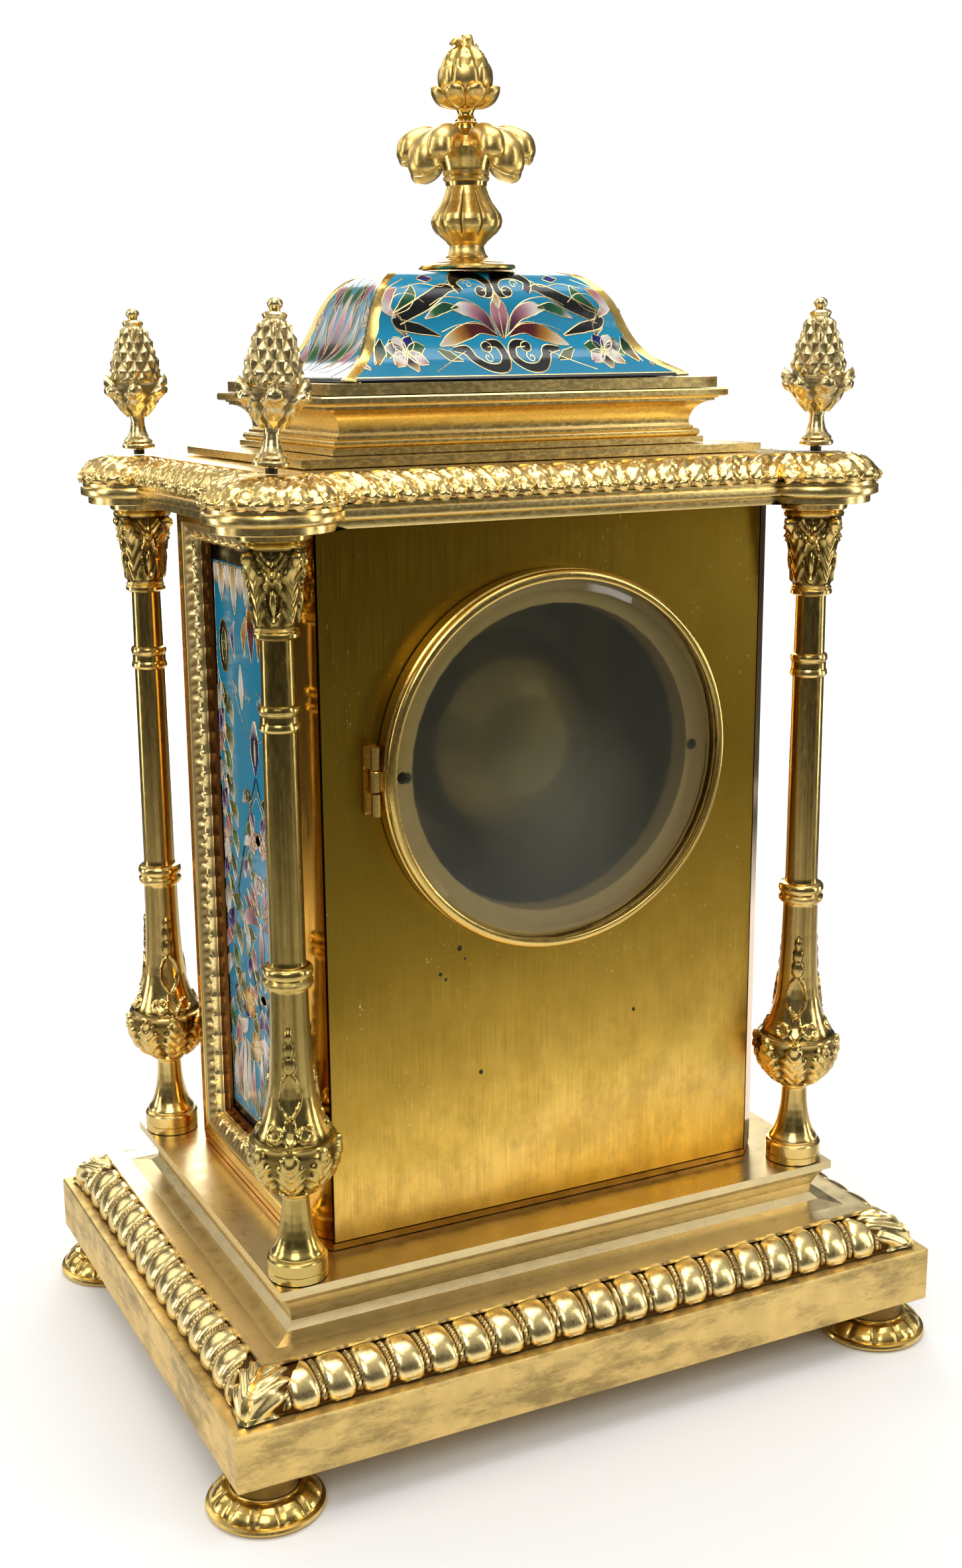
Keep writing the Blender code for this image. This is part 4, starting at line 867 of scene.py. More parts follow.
def cornice():
    """The lower lobed plates stay plain and polished; the moulding above them is chased with leaves."""
    z0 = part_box("cornice_bed")[0].z
    bed = [(4.7, 16.6, 0.0), (4.8, 16.8, 0.2), (4.8, 16.8, 2.1), (4.6, 16.6, 2.3), (5.7, 18.0, 2.4),
           (6.0, 18.2, 2.6), (6.9, 19.0, 2.8), (7.0, 19.1, 3.0), (7.0, 19.1, 5.0), (6.8, 18.9, 5.3),
           (6.2, 18.3, 5.5), (6.2, 18.3, 6.6)]
    grid = np.array([lobed_row(run, r, z0 + h * MM) for run, r, h in bed])
    skin("cornice_bed_plates", grid, GILT_ATTIC, replaces=["cornice_bed"], caps=True)
    z1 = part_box("cornice_moulding")[0].z
    ovolo = curve_through([(6.2, 18.2, 0.0), (6.6, 18.6, 0.6), (6.4, 18.4, 1.6), (5.5, 17.4, 3.1),
                           (3.9, 15.6, 4.7), (1.8, 13.0, 6.0), (-0.6, 10.0, 6.9)], 28)
    grid = np.array([lobed_row(run, r, z1 + h * MM) for run, r, h in ovolo])
    length = np.linalg.norm(np.diff(np.concatenate([grid, grid[:, :1]], 1), axis=1), axis=2)
    middle = np.concatenate([[0], np.cumsum(length[10])])[:-1] / MM
    total = length[10].sum() / MM
    pitch = total / round(total / 10.4)
    s = middle[None, :] + 0 * grid[..., 0]
    t = np.linspace(0, 1, len(grid))[:, None] + 0 * s
    a = wrapped(s, pitch) / pitch * 2
    main = acanthus(a * 1.45, 1.02 - t * 0.98, 3.0, 0.8)
    small = acanthus(wrapped(s + pitch / 2, pitch) / pitch * 2 * 2.6, 0.15 + t * 0.85, 2.0, 0.8)
    berry = np.hypot(wrapped(s + pitch / 2, pitch), (t - 0.26) * 9.0)
    fine = 0.16 * np.sin(s * 3.9 + 5 * np.sin(t * 7)) * np.sin(t * 21 + 2 * np.sin(s * 0.9))
    bead = np.sqrt(np.clip(1 - (berry / 1.25) ** 2, 0, 1))
    relief = 0.2 + 1.15 * main + 0.75 * small * (main < 0.12) + 0.9 * bead + fine
    relief *= ease(t / 0.06) * ease((1 - t) / 0.05)
    # grime and painted shade between the leaves
    skin("cornice_leaf_band", grid, GILT_CORNICE, replaces=["cornice_moulding"], relief=relief * MM,
         caps=False, grime_and_shade=np.clip(0.75 - relief / 1.1, 0, 1))


def side_borders():
    """The frames: a polished margin, a thin fillet, a sloping scalloped border and a plain reveal, darkened
    with painted shade.
    """
    for side, sign in (("left", -1), ("right", 1)):
        node = "side_frame_" + side
        low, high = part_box(node)
        panel_border(node, (low.y + high.y) / 2, (high.y - low.y) / 2, low.z, high.z, sign)
    low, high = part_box("front_frame")
    panel_border("front_frame", 0.0, (high.x - low.x) / 2, low.z, high.z, 0)


def scallops(s, t):
    """Curled leaf tips along a border's inner edge, on a gently veined slope. t is 0 at the outer edge."""
    pitch = 6.9
    a = wrapped(s, pitch) / pitch * 2
    lobe_part = np.sqrt(np.clip(1 - np.abs(a) ** 2.2, 0, 1))
    curl = np.hypot(wrapped(s - 1.2, pitch) / 1.6, (t - 0.80) / 0.085)
    out = 0.75 * hump(t - 0.80, 0.18) * lobe_part + 1.05 * hump(curl - 1.0, 0.5)
    out += 0.7 * hump(wrapped(s + pitch / 2, pitch), 0.7) * ease((t - 0.30) / 0.3) * ease((0.95 - t) / 0.1)
    out += 0.22 * hump(t - 0.16, 0.05) + 0.12 * np.sin(s * 2.1 + 6 * t) * hump(t - 0.45, 0.3)
    return out


def panel_border(node, centre, half, z_low, z_high, sign):
    """A border about a window. sign is 1 for the right side, -1 for the left and 0 for the front."""
    low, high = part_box(node)
    face = high.x if sign > 0 else (-low.x if sign < 0 else -low.y)
    middle_z, half_z = (z_low + z_high) / 2, (z_high - z_low) / 2
    # (distance in from the frame's edge, depth behind its face), in millimetres
    section = [(0.0, 7.0), (0.0, 0.15), (0.15, 0.0), (3.2, 0.0), (3.4, 0.35), (3.9, 0.35), (4.1, 0.05),
               (4.6, 0.0), (5.0, 0.35)]
    section += [(5.0 + 5.2 * k / 8, 0.35 + 3.6 * (k / 8) ** 1.15) for k in range(1, 9)]
    section += [(10.35, 4.3), (10.5, 5.0), (11.1, 7.1)]
    path = along(section, 0.42)
    t_all = np.interp(path[:, 0], [3.9, 10.2], [0, 1])
    chased = (path[:, 0] > 4.5) & (path[:, 0] < 10.3) & (path[:, 1] < 4.2)
    points, faces, dark = [], [], []
    index = []
    for turn in range(4):
        upright = turn % 2 == 1
        length, out = (half_z, half) if upright else (half, half_z)
        reach = length - path[:, 0] * MM
        columns = int(2 * length / (0.6 * MM))
        s = reach[:, None] * np.linspace(-1, 1, columns)[None, :]
        across = (out - path[:, 0] * MM)[:, None] + 0 * s
        depth = path[:, 1][:, None] * MM + 0 * s
        t = t_all[:, None] + 0 * s
        height = scallops(s / MM, t) * chased[:, None]
        at_edge = ease((t - 0.75) / 0.2)
        in_front = (path[:, 1] < 6.0)[:, None]
        wave = 0.75 * MM * np.abs(np.sin(np.pi * s / MM / 6.9)) ** 0.6 * at_edge * in_front
        across = across + wave * 0.6 - 0.3 * MM * at_edge
        u, v = ((s, -across), (across, s), (-s, across), (-across, -s))[turn]
        out_by = face - depth + height * MM * 0.8
        if sign == 0:
            grid = np.stack([centre + u, -out_by, middle_z + v], 2)
        else:
            grid = np.stack([sign * out_by, centre + sign * u, middle_z + v], 2)
        first = len(points)
        points += list(grid.reshape(-1, 3))
        faces += grid_faces(len(path), columns, False, first)
        # grime and painted shade in the hollows of the scalloped border
        dark += list((np.where(chased[:, None], np.clip(0.75 - height / 0.75, 0, 0.9), 0.0)).ravel())
        # the deep reveal wall takes the dark, painted-shade reveal gilt, the outer margin the bright gilt
        index += [1 if (path[i, 0] > 10.3 and path[i, 1] > 4.2) else 2 if path[i, 0] < 4.3 else 0
                  for i in range(len(path) - 1) for _ in range(columns - 1)]
    obj = add_piece(node + "_border", points, faces, [GILT_CHASED, SHADED_REVEAL, GILT_BRIGHT], "case",
                    [node], np.array(dark))
    obj.data.polygons.foreach_set("material_index", index)
    return obj


# ---------------------------------------------------------------- enamel


def srgb(red, green, blue):
    """A colour given as 0 to 255 screen values, as linear light."""
    c = np.array([red, green, blue]) / 255.0
    return np.where(c <= 0.04045, c / 12.92, ((c + 0.055) / 1.055) ** 2.4)


SKY = srgb(18, 134, 172)
INK, WHITE, CREAM = srgb(6, 6, 9), srgb(232, 224, 218), srgb(218, 192, 146)
PINK, MAUVE, PLUM = srgb(186, 126, 140), srgb(104, 52, 78), srgb(52, 14, 34)
NAVY, BLUE, GREEN = srgb(12, 12, 70), srgb(26, 42, 138), srgb(8, 74, 46)
LEAF, OLIVE, TAN, WINE = srgb(44, 106, 58), srgb(88, 86, 36), srgb(184, 122, 42), srgb(84, 14, 16)


class Inlay:
    """Enamel cells edged with gilt wire, gathered into one mesh that lies on a surface.

    place(u, v, lift) turns arrays in millimetres into points: u across the panel, v up it, lift out from it.
    """

    def __init__(self, place, limit=None):
        self.place = place
        self.limit = limit
        self.points, self.faces, self.tints, self.metal = [], [], [], []
        self.layer = 0

    def lay(self, u, v, lift, tint, metal):
        """Adds a (rows, columns) patch of points with one tint each."""
        rows, columns = u.shape
        first = len(self.points)
        if self.limit is not None:
            u, v = self.limit(u, v)
        self.points += list(self.place(u.ravel(), v.ravel(), lift.ravel()))
        self.tints += list(np.broadcast_to(tint, (rows, columns, 3)).reshape(-1, 3))
        faces = grid_faces(rows, columns, False, first)
        self.faces += faces
        self.metal += [metal] * len(faces)

    def both(self, both, u, *rest):
        """Lays a patch, and its mirror image across the panel's middle if both is true."""
        self.lay(u, *rest)
        if both:
            self.lay(-u[:, ::-1], *[r[:, ::-1] if isinstance(r, np.ndarray) and r.ndim > 1 else r
                                    for r in rest])

    def wire(self, path, width=0.24, both=True):
        """A thin raised gilt line."""
        p = np.asarray(path, float)
        d = np.gradient(p, axis=0)
        n = np.stack([-d[:, 1], d[:, 0]], 1) / np.maximum(np.linalg.norm(d, axis=1, keepdims=True), 1e-9)
        u = p[:, :1] + n[:, :1] * width * np.array([[-0.5, 0.0, 0.5]])
        v = p[:, 1:] + n[:, 1:] * width * np.array([[-0.5, 0.0, 0.5]])
        lift = 0.05 + self.layer * 0.03 + np.array([[0.0, 0.06, 0.0]]) + 0 * u
        self.both(both, u[:, ::-1], v[:, ::-1], lift[:, ::-1], np.array([0.9, 0.7, 0.35]), 1)

    def leaf(self, spine, widths, colours, both=True, edge=0.23, count=18, midrib=0.22):
        """A tapering cell along a curved spine, its colours running from its root to its tip."""
        p = curve_through(spine, count)
        t = np.linspace(0, 1, count)
        half = np.interp(t, np.linspace(0, 1, len(widths)), widths)
        d = np.gradient(p, axis=0)
        n = np.stack([-d[:, 1], d[:, 0]], 1) / np.maximum(np.linalg.norm(d, axis=1, keepdims=True), 1e-9)
        across = np.array([-1.0, -0.6, -0.2, 0.2, 0.6, 1.0])
        u = p[:, :1] + n[:, :1] * half[:, None] * across
        v = p[:, 1:] + n[:, 1:] * half[:, None] * across
        run = np.stack([np.interp(t, np.linspace(0, 1, len(colours)), [c[k] for c in colours])
                        for k in range(3)], 1)
        shade = 1.0 - midrib * (1 - np.abs(across))
        tint = run[:, None, :] * shade[None, :, None]
        lift = 0.05 + self.layer * 0.03 + 0 * u
        self.both(both, u[:, ::-1], v[:, ::-1], lift, tint[:, ::-1], 0)
        if edge:
            self.wire(np.stack([u[:, 0], v[:, 0]], 1), edge, both)
            self.wire(np.stack([u[:, -1], v[:, -1]], 1), edge, both)
        self.layer += 0.02

    def disc(self, at, size, colours, both=True, edge=0.28, turn=0.0, petals=0):
        """A round, oval or petalled cell, its colours running from the middle to the rim."""
        angle = np.linspace(0, 2 * math.pi, 37)
        radius = 1 - 0.25 * np.abs(np.sin(petals * angle / 2)) ** 3 if petals else 1 + 0 * angle
        ring = np.stack([size[0] * radius * np.cos(angle), size[1] * radius * np.sin(angle)], 1)
        c, s = math.cos(turn), math.sin(turn)
        ring = ring @ np.array([[c, s], [-s, c]])
        steps = np.linspace(0.0, 1.0, 5)[:, None]
        u, v = at[0] + steps * ring[:, 0], at[1] + steps * ring[:, 1]
        tint = np.stack([np.interp(steps[:, 0], np.linspace(0, 1, len(colours)), [x[k] for x in colours])
                         for k in range(3)], 1)
        lift = 0.05 + self.layer * 0.03 + 0 * u
        self.both(both, u[::-1], v[::-1], lift, np.broadcast_to(tint[::-1, None, :], (5, 37, 3)), 0)
        if edge:
            self.wire(np.stack([u[-1], v[-1]], 1), edge, both)
        self.layer += 0.02

    def scroll(self, path, widths, colours=(INK, INK), both=True, knob=1.5):
        """A strap of ink-dark enamel that ends in a round knob."""
        self.layer += 0.5
        self.leaf(path, widths, colours, both, 0.30, 34, 0.0)
        if knob:
            self.disc(path[-1], (knob, knob), (INK, INK), both, 0.28)

    def strap(self, spine, widths, count, edge=0.32):
        """A band of ink-dark enamel, the same on both halves."""
        self.leaf(spine, widths, (INK, INK), True, edge, count, 0.0)

    def spiral(self, at, radius, turns, start, width=0.3, both=True, hand=1):
        """A wire that winds inwards."""
        a = np.linspace(0, turns * 2 * math.pi, 30)
        r = radius * (1 - a / a[-1] * 0.85)
        self.wire(np.stack([at[0] + r * np.cos(start + hand * a), at[1] + r * np.sin(start + hand * a)],
                           1), width, both)

    def done(self, name):
        """Makes the piece from all that was laid."""
        obj = add_piece(name, self.points, self.faces, [ENAMEL, GILT_PALE], "case", (), None,
                        np.array(self.tints), 60)
        obj.data.polygons.foreach_set("material_index", self.metal)
        return obj


def ground(name, u, v, place, tint):
    """The enamel sheet under the cells."""
    u, v = np.meshgrid(u, v)
    points = place(u.ravel(), v.ravel(), 0 * u.ravel())
    tints = tint(u.ravel(), v.ravel())
    return add_piece(name, list(points), grid_faces(u.shape[0], u.shape[1], False), ENAMEL, "case",
                     (), None, tints, 60)


# (half width, height above the dome's foot) of the long faces; the short faces stand nearer the middle
DOME = ((56.6, 0.0), (56.4, 0.5), (55.4, 1.3), (53.0, 2.8), (50.6, 4.3), (48.4, 6.0), (46.6, 7.9),
        (45.1, 10.0), (44.0, 12.0), (43.0, 14.2), (42.2, 16.2), (41.4, 18.4), (40.5, 20.6), (39.6, 22.4),
        (38.4, 24.3), (37.0, 26.2), (35.2, 27.9), (33.4, 29.3), (31.2, 30.4), (28.6, 31.2), (26.0, 31.6))


def dome():
    """The enamelled dome: four faces, gilt hips and a small flat top."""
    low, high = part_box("enamel_dome")
    step = (high.x - high.y) / MM
    smooth = curve_through(DOME, 90)
    heights, wide = smooth[:, 1], smooth[:, 0]
    slope = np.gradient(wide, heights)

    def face(turn):
        def place(u, v, lift):
            reach = np.interp(v, heights, wide) - (step if turn % 2 == 0 else 0.0)
            lean = np.interp(v, heights, slope)
            n = np.hypot(1.0, lean)
            out, z = reach + lift / n, v - lift * lean / n
            angle = turn * math.pi / 2
            c, s = round(math.cos(angle)), round(math.sin(angle))
            x, y = u, -out
            return np.stack([(x * c - y * s) * MM, (x * s + y * c) * MM, low.z + z * MM], 1)
        return place

    for turn, label in ((0, "front"), (1, "right"), (2, "back"), (3, "left")):
        long_face = turn % 2 == 0
        place = face(turn)
        edge = wide - (0.0 if long_face else step)
        share = np.linspace(-1, 1, 61)
        points, tints = [], []
        for v, e in zip(heights, edge):
            u = share * e
            points += list(place(u, v + 0 * u, 0 * u))
            colour = INK if v < 0.9 else SKY * (1 - 0.12 * math.sin(v * 0.4))
            tints += [colour] * len(u)
        add_piece("dome_ground_" + label, points, grid_faces(len(heights), len(share), False), ENAMEL,
                  "case", ["enamel_dome"] if turn == 0 else (), None, np.array(tints), 60)

        def limit(u, v, edge=edge):
            most = np.interp(v, heights, edge) - 1.6
            return np.clip(u, -most, most), np.clip(v, 0.2, heights[-1] - 0.1)

        art = Inlay(place, limit)
        if long_face:
            dome_design(art)
        else:
            dome_end_design(art)
        span = 54 if long_face else 34
        art.wire([(-span, 1.15), (0, 1.15), (span, 1.15)], 0.3, False)
        art.done("dome_cells_" + label)

    points, faces = [], []
    for sx, sy in ((1, 1), (-1, 1), (-1, -1), (1, -1)):
        path = np.array([(sx * w * MM, sy * (w - step) * MM, low.z + h * MM)
                         for w, h in zip(wide, heights)])
        ridge = np.array([sx, sy, 0.55]) / math.sqrt(2.3)
        lay = np.array([-sy, sx, 0.0]) / math.sqrt(2)
        first = len(points)
        for i, p in enumerate(path):
            broad = (3.3 - 1.2 * i / len(path)) * MM * (1 + 0.06 * math.sin(i * 0.5))
            for side, lift in ((-1.0, -0.45), (-0.55, 0.25), (0.0, 0.42), (0.55, 0.25), (1.0, -0.45)):
                bend = np.array([-sx, -sy, 0.0]) / math.sqrt(2) * abs(side) * broad
                points.append(p + lay * side * broad + bend + ridge * lift * MM)
        faces += grid_faces(len(path), 5, False, first)
    add_piece("dome_hips", points, faces, GILT_BRIGHT, "case")
    top = (wide[-1], wide[-1] - step)
    plate = [(sx * top[0] * MM, sy * top[1] * MM, low.z + heights[-1] * MM)
             for sx, sy in ((-1, -1), (1, -1), (1, 1), (-1, 1))]
    add_piece("dome_top", plate, [(0, 1, 2, 3)], GILT_BRIGHT, "case")


def dome_design(art):
    """Palmette, strapwork, leaves and flowers of one long dome face."""
    art.wire(curve_through([(0.6, 12.0), (4.0, 18.6), (9.5, 22.6), (17.0, 23.6), (22.5, 21.2)], 24))
    art.wire(curve_through([(0.6, 12.0), (6.5, 15.6), (14.0, 15.6), (20.0, 13.6)], 20))
    art.wire(curve_through([(44.5, 4.5), (41.5, 12.0), (39.0, 19.0), (35.0, 25.5), (28.0, 29.0)], 24))
    art.wire(curve_through([(26.5, 2.4), (19.0, 5.6), (13.8, 8.0)], 14))
    art.wire(curve_through([(13.8, 28.6), (17.0, 26.6), (23.0, 27.6), (30.0, 26.2)], 16))
    art.wire(curve_through([(24.0, 22.0), (28.0, 24.6), (33.0, 23.8), (36.0, 19.5)], 16))
    art.leaf([(2.2, 13.2), (6.0, 18.2), (11.0, 20.2), (15.6, 20.2)], (0.3, 1.5, 2.1, 1.9, 0.2),
             (PLUM, MAUVE, PINK, WHITE, CREAM))
    art.leaf([(13.2, 20.6), (17.6, 20.6), (21.4, 19.0), (24.6, 17.4)], (0.3, 1.5, 1.2, 0.15),
             (GREEN, GREEN, LEAF, WHITE))
    art.leaf([(2.0, 12.4), (7.5, 14.6), (12.6, 13.4), (17.0, 11.6), (21.5, 9.6)],
             (0.3, 1.4, 2.2, 2.1, 1.7, 0.2), (PLUM, WINE, WINE, TAN, CREAM, WHITE))
    art.leaf([(22.5, 8.6), (19.5, 6.8), (16.0, 5.4)], (0.4, 1.5, 0.2), (LEAF, OLIVE, GREEN))
    art.leaf([(0.0, 11.6), (0.0, 16.0), (0.0, 20.5), (0.0, 24.6)], (0.4, 1.7, 2.9, 2.3, 0.1),
             (PLUM, MAUVE, PINK, PINK, WHITE), False, 0.32)
    art.leaf([(0.0, 20.4), (0.0, 22.6), (0.0, 24.8)], (0.3, 1.3, 0.1), (WHITE, CREAM, TAN), False, 0.25)
    art.wire([(0, 11.8), (0, 20.4)], 0.25, False)
    art.leaf([(31.6, 12.2), (32.8, 14.8), (34.0, 17.2), (33.2, 19.6)], (0.3, 1.7, 1.3, 0.2),
             (NAVY, CREAM, WHITE, WHITE))
    art.leaf([(33.6, 17.8), (36.6, 20.8), (34.8, 24.2), (31.6, 26.2)], (0.3, 1.9, 1.6, 0.2),
             (PINK, WHITE, PINK, TAN))
    art.leaf([(34.6, 18.6), (30.4, 21.4), (27.4, 24.6), (26.6, 27.2)], (0.3, 1.6, 1.5, 0.2),
             (OLIVE, GREEN, LEAF, GREEN))
    art.leaf([(43.5, 4.6), (41.2, 8.4), (40.2, 11.8)], (0.4, 2.0, 0.2), (TAN, GREEN, INK))
    art.leaf([(39.4, 6.4), (37.6, 9.0), (37.0, 11.6)], (0.4, 1.7, 0.2), (LEAF, GREEN, GREEN))
    for angle, colours in ((18, (NAVY, NAVY, WHITE)), (62, (NAVY, WHITE, WHITE)),
                           (112, (NAVY, BLUE, NAVY)), (160, (GREEN, GREEN, LEAF)),
                           (214, (NAVY, WHITE, PINK)), (262, (NAVY, NAVY, CREAM)),
                           (318, (NAVY, WHITE, TAN))):
        a = math.radians(180 - angle)
        cx, cy, reach = 33.0, 7.6, 5.4
        end = (cx - reach * 1.25 * math.cos(a), cy + reach * 0.95 * math.sin(a))
        mid = ((cx + end[0]) / 2, (cy + end[1]) / 2 + 0.3)
        art.leaf([(cx, cy), mid, end], (0.3, 1.7, 1.9, 0.3), colours, True, 0.26, 12)
    art.disc((33.0, 7.6), (1.2, 1.2), (TAN, CREAM), True, 0.25)
    art.leaf([(46.6, 3.4), (48.8, 5.6), (47.2, 8.6)], (0.3, 1.3, 0.2), (PINK, WHITE, PLUM))
    art.disc((21.0, 29.0), (2.4, 1.0), (BLUE, NAVY), True, 0.25, 0.0, 4)
    art.strap([(11.0, 25.2), (12.4, 28.2), (8.8, 30.2), (4.0, 30.0), (1.2, 27.6), (1.8, 24.6),
               (4.2, 24.6)], (1.1, 1.25, 1.3, 1.3, 1.25, 1.1, 1.0), 36)
    art.disc((4.4, 25.2), (1.7, 1.5), (INK, INK))
    art.strap([(17.6, 8.6), (13.4, 8.2), (11.9, 5.8), (8.4, 3.4), (4.0, 3.4), (1.4, 6.2), (2.6, 9.8),
               (6.2, 10.2)], (0.6, 1.5, 1.3, 1.3, 1.35, 1.3, 1.2, 1.0), 40)
    art.disc((6.6, 9.2), (1.7, 1.5), (INK, INK))
    art.strap([(12.6, 26.2), (16.6, 25.8), (24.0, 21.8), (33.6, 17.4)], (0.5, 1.6, 2.1, 1.8), 30)
    art.strap([(34.0, 17.8), (33.0, 15.8), (27.0, 14.4), (20.6, 12.4)], (1.4, 1.6, 1.5, 0.2), 24)
    art.spiral((7.6, 27.4), 1.5, 1.2, 0.0)
    art.spiral((7.2, 6.2), 1.6, 1.2, 2.0)


def dome_end_design(art):
    """Flame-shaped leaves, dark strokes and small blue flowers of one short dome face."""
    art.leaf([(0.0, 3.0), (0.0, 10.0), (0.0, 18.0), (0.0, 25.0)], (0.5, 3.2, 2.6, 0.2),
             (GREEN, PLUM, PINK, WHITE), False)
    for k, (x0, y0, x1, y1, x2, y2) in enumerate(((2.0, 5.0, 6.5, 12.0, 5.6, 22.0),
                                                  (4.0, 3.0, 11.5, 9.0, 12.6, 19.0),
                                                  (9.0, 2.8, 17.5, 6.5, 20.5, 13.0),
                                                  (16.0, 2.4, 23.0, 4.0, 27.0, 8.5),
                                                  (6.0, 20.0, 10.0, 25.0, 15.0, 28.5),
                                                  (1.6, 20.0, 4.0, 26.0, 3.2, 30.0))):
        art.leaf([(x0, y0), (x1, y1), (x2, y2)], (0.3, 2.3, 2.0, 0.15),
                 ((PLUM, MAUVE, PINK, WHITE), (GREEN, LEAF, WHITE), (WINE, PINK, WHITE),
                  (NAVY, BLUE, WHITE))[k % 4])
    art.strap([(3.0, 8.0), (9.0, 15.5), (8.6, 24.0), (5.4, 28.0)], (0.3, 0.9, 1.0, 0.3), 24, 0.28)
    art.strap([(12.0, 4.0), (15.6, 11.0), (16.0, 19.0), (13.0, 24.0)], (0.3, 0.9, 1.0, 0.3), 24, 0.28)
    flower(art, (17.6, 17.5), 2.9, (NAVY, BLUE, WHITE), 5, 0.5)
    flower(art, (22.5, 12.0), 2.6, (NAVY, BLUE, WHITE), 5, 0.9)
    art.wire(curve_through([(30.0, 3.5), (24.0, 8.0), (21.0, 16.0), (18.0, 23.0), (13.0, 28.0)], 24))


def side_enamel():
    """The two upright side panels."""
    for side, sign in (("left", -1), ("right", 1)):
        low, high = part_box("side_enamel_" + side)
        face = high.x if sign > 0 else low.x
        z0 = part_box("side_frame_" + side)[0].z + BORDER * MM
        z1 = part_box("side_frame_" + side)[1].z - BORDER * MM

        def place(u, v, lift, face=face, sign=sign, z0=z0):
            return np.stack([face + sign * (lift + 0.05) * MM, sign * u * MM, z0 + v * MM], 1)

        tall = (z1 - z0) / MM

        def tint(u, v, tall=tall):
            return np.where(((v < 1.6) | (v > tall - 3.2) | (np.abs(u) > 32.4))[:, None], INK, SKY)

        ground("side_ground_" + side, np.linspace(-34, 34, 137), np.linspace(-1.5, tall + 1.5, 385),
               place, tint)
        art = Inlay(place)
        tall_design(art, tall, 31.6)
        art.done("side_cells_" + side)


def flower(art, at, size, colours, petals=5, start=0.0, both=True):
    """Open petals round a small heart."""
    for k in range(petals):
        a = start + k * 2 * math.pi / petals
        end = (at[0] + size * math.cos(a), at[1] + size * math.sin(a))
        middle = ((at[0] + end[0]) / 2, (at[1] + end[1]) / 2)
        art.leaf([at, middle, end], (0.2, size * 0.42, size * 0.36, 0.15), colours, both, 0.24, 10)
    art.disc(at, (size * 0.22, size * 0.22), (TAN, CREAM), both, 0.22)


def vine(art, path, size, palettes):
    """A wire stem with leaves to its left and right in turn."""
    every = 4.3     # millimetres between leaves
    stem = curve_through(path, 60)
    art.wire(stem, 0.3)
    length = np.concatenate([[0], np.cumsum(np.linalg.norm(np.diff(stem, axis=0), axis=1))])
    count = max(2, int(length[-1] / every))
    for k in range(1, count + 1):
        at = length[-1] * k / (count + 0.6)
        p = np.array([np.interp(at, length, stem[:, i]) for i in range(2)])
        q = np.array([np.interp(at + 0.5, length, stem[:, i]) for i in range(2)])
        d = (q - p) / max(np.linalg.norm(q - p), 1e-9)
        side = np.array([-d[1], d[0]]) * (1 if k % 2 else -1)
        grow = size * (1.45 - 0.45 * k / count)
        art.leaf([p, p + (d * 0.55 + side * 0.60) * grow, p + (d * 1.25 + side * 0.75) * grow],
                 (0.15, 0.36 * grow, 0.30 * grow, 0.1), palettes[k % len(palettes)], True, 0.24, 12)


LEAVES = ((GREEN, LEAF, WHITE), (PLUM, WHITE, WHITE), (INK, GREEN, WHITE), (NAVY, BLUE, WHITE),
          (GREEN, OLIVE, WHITE), (PLUM, PINK, WHITE))


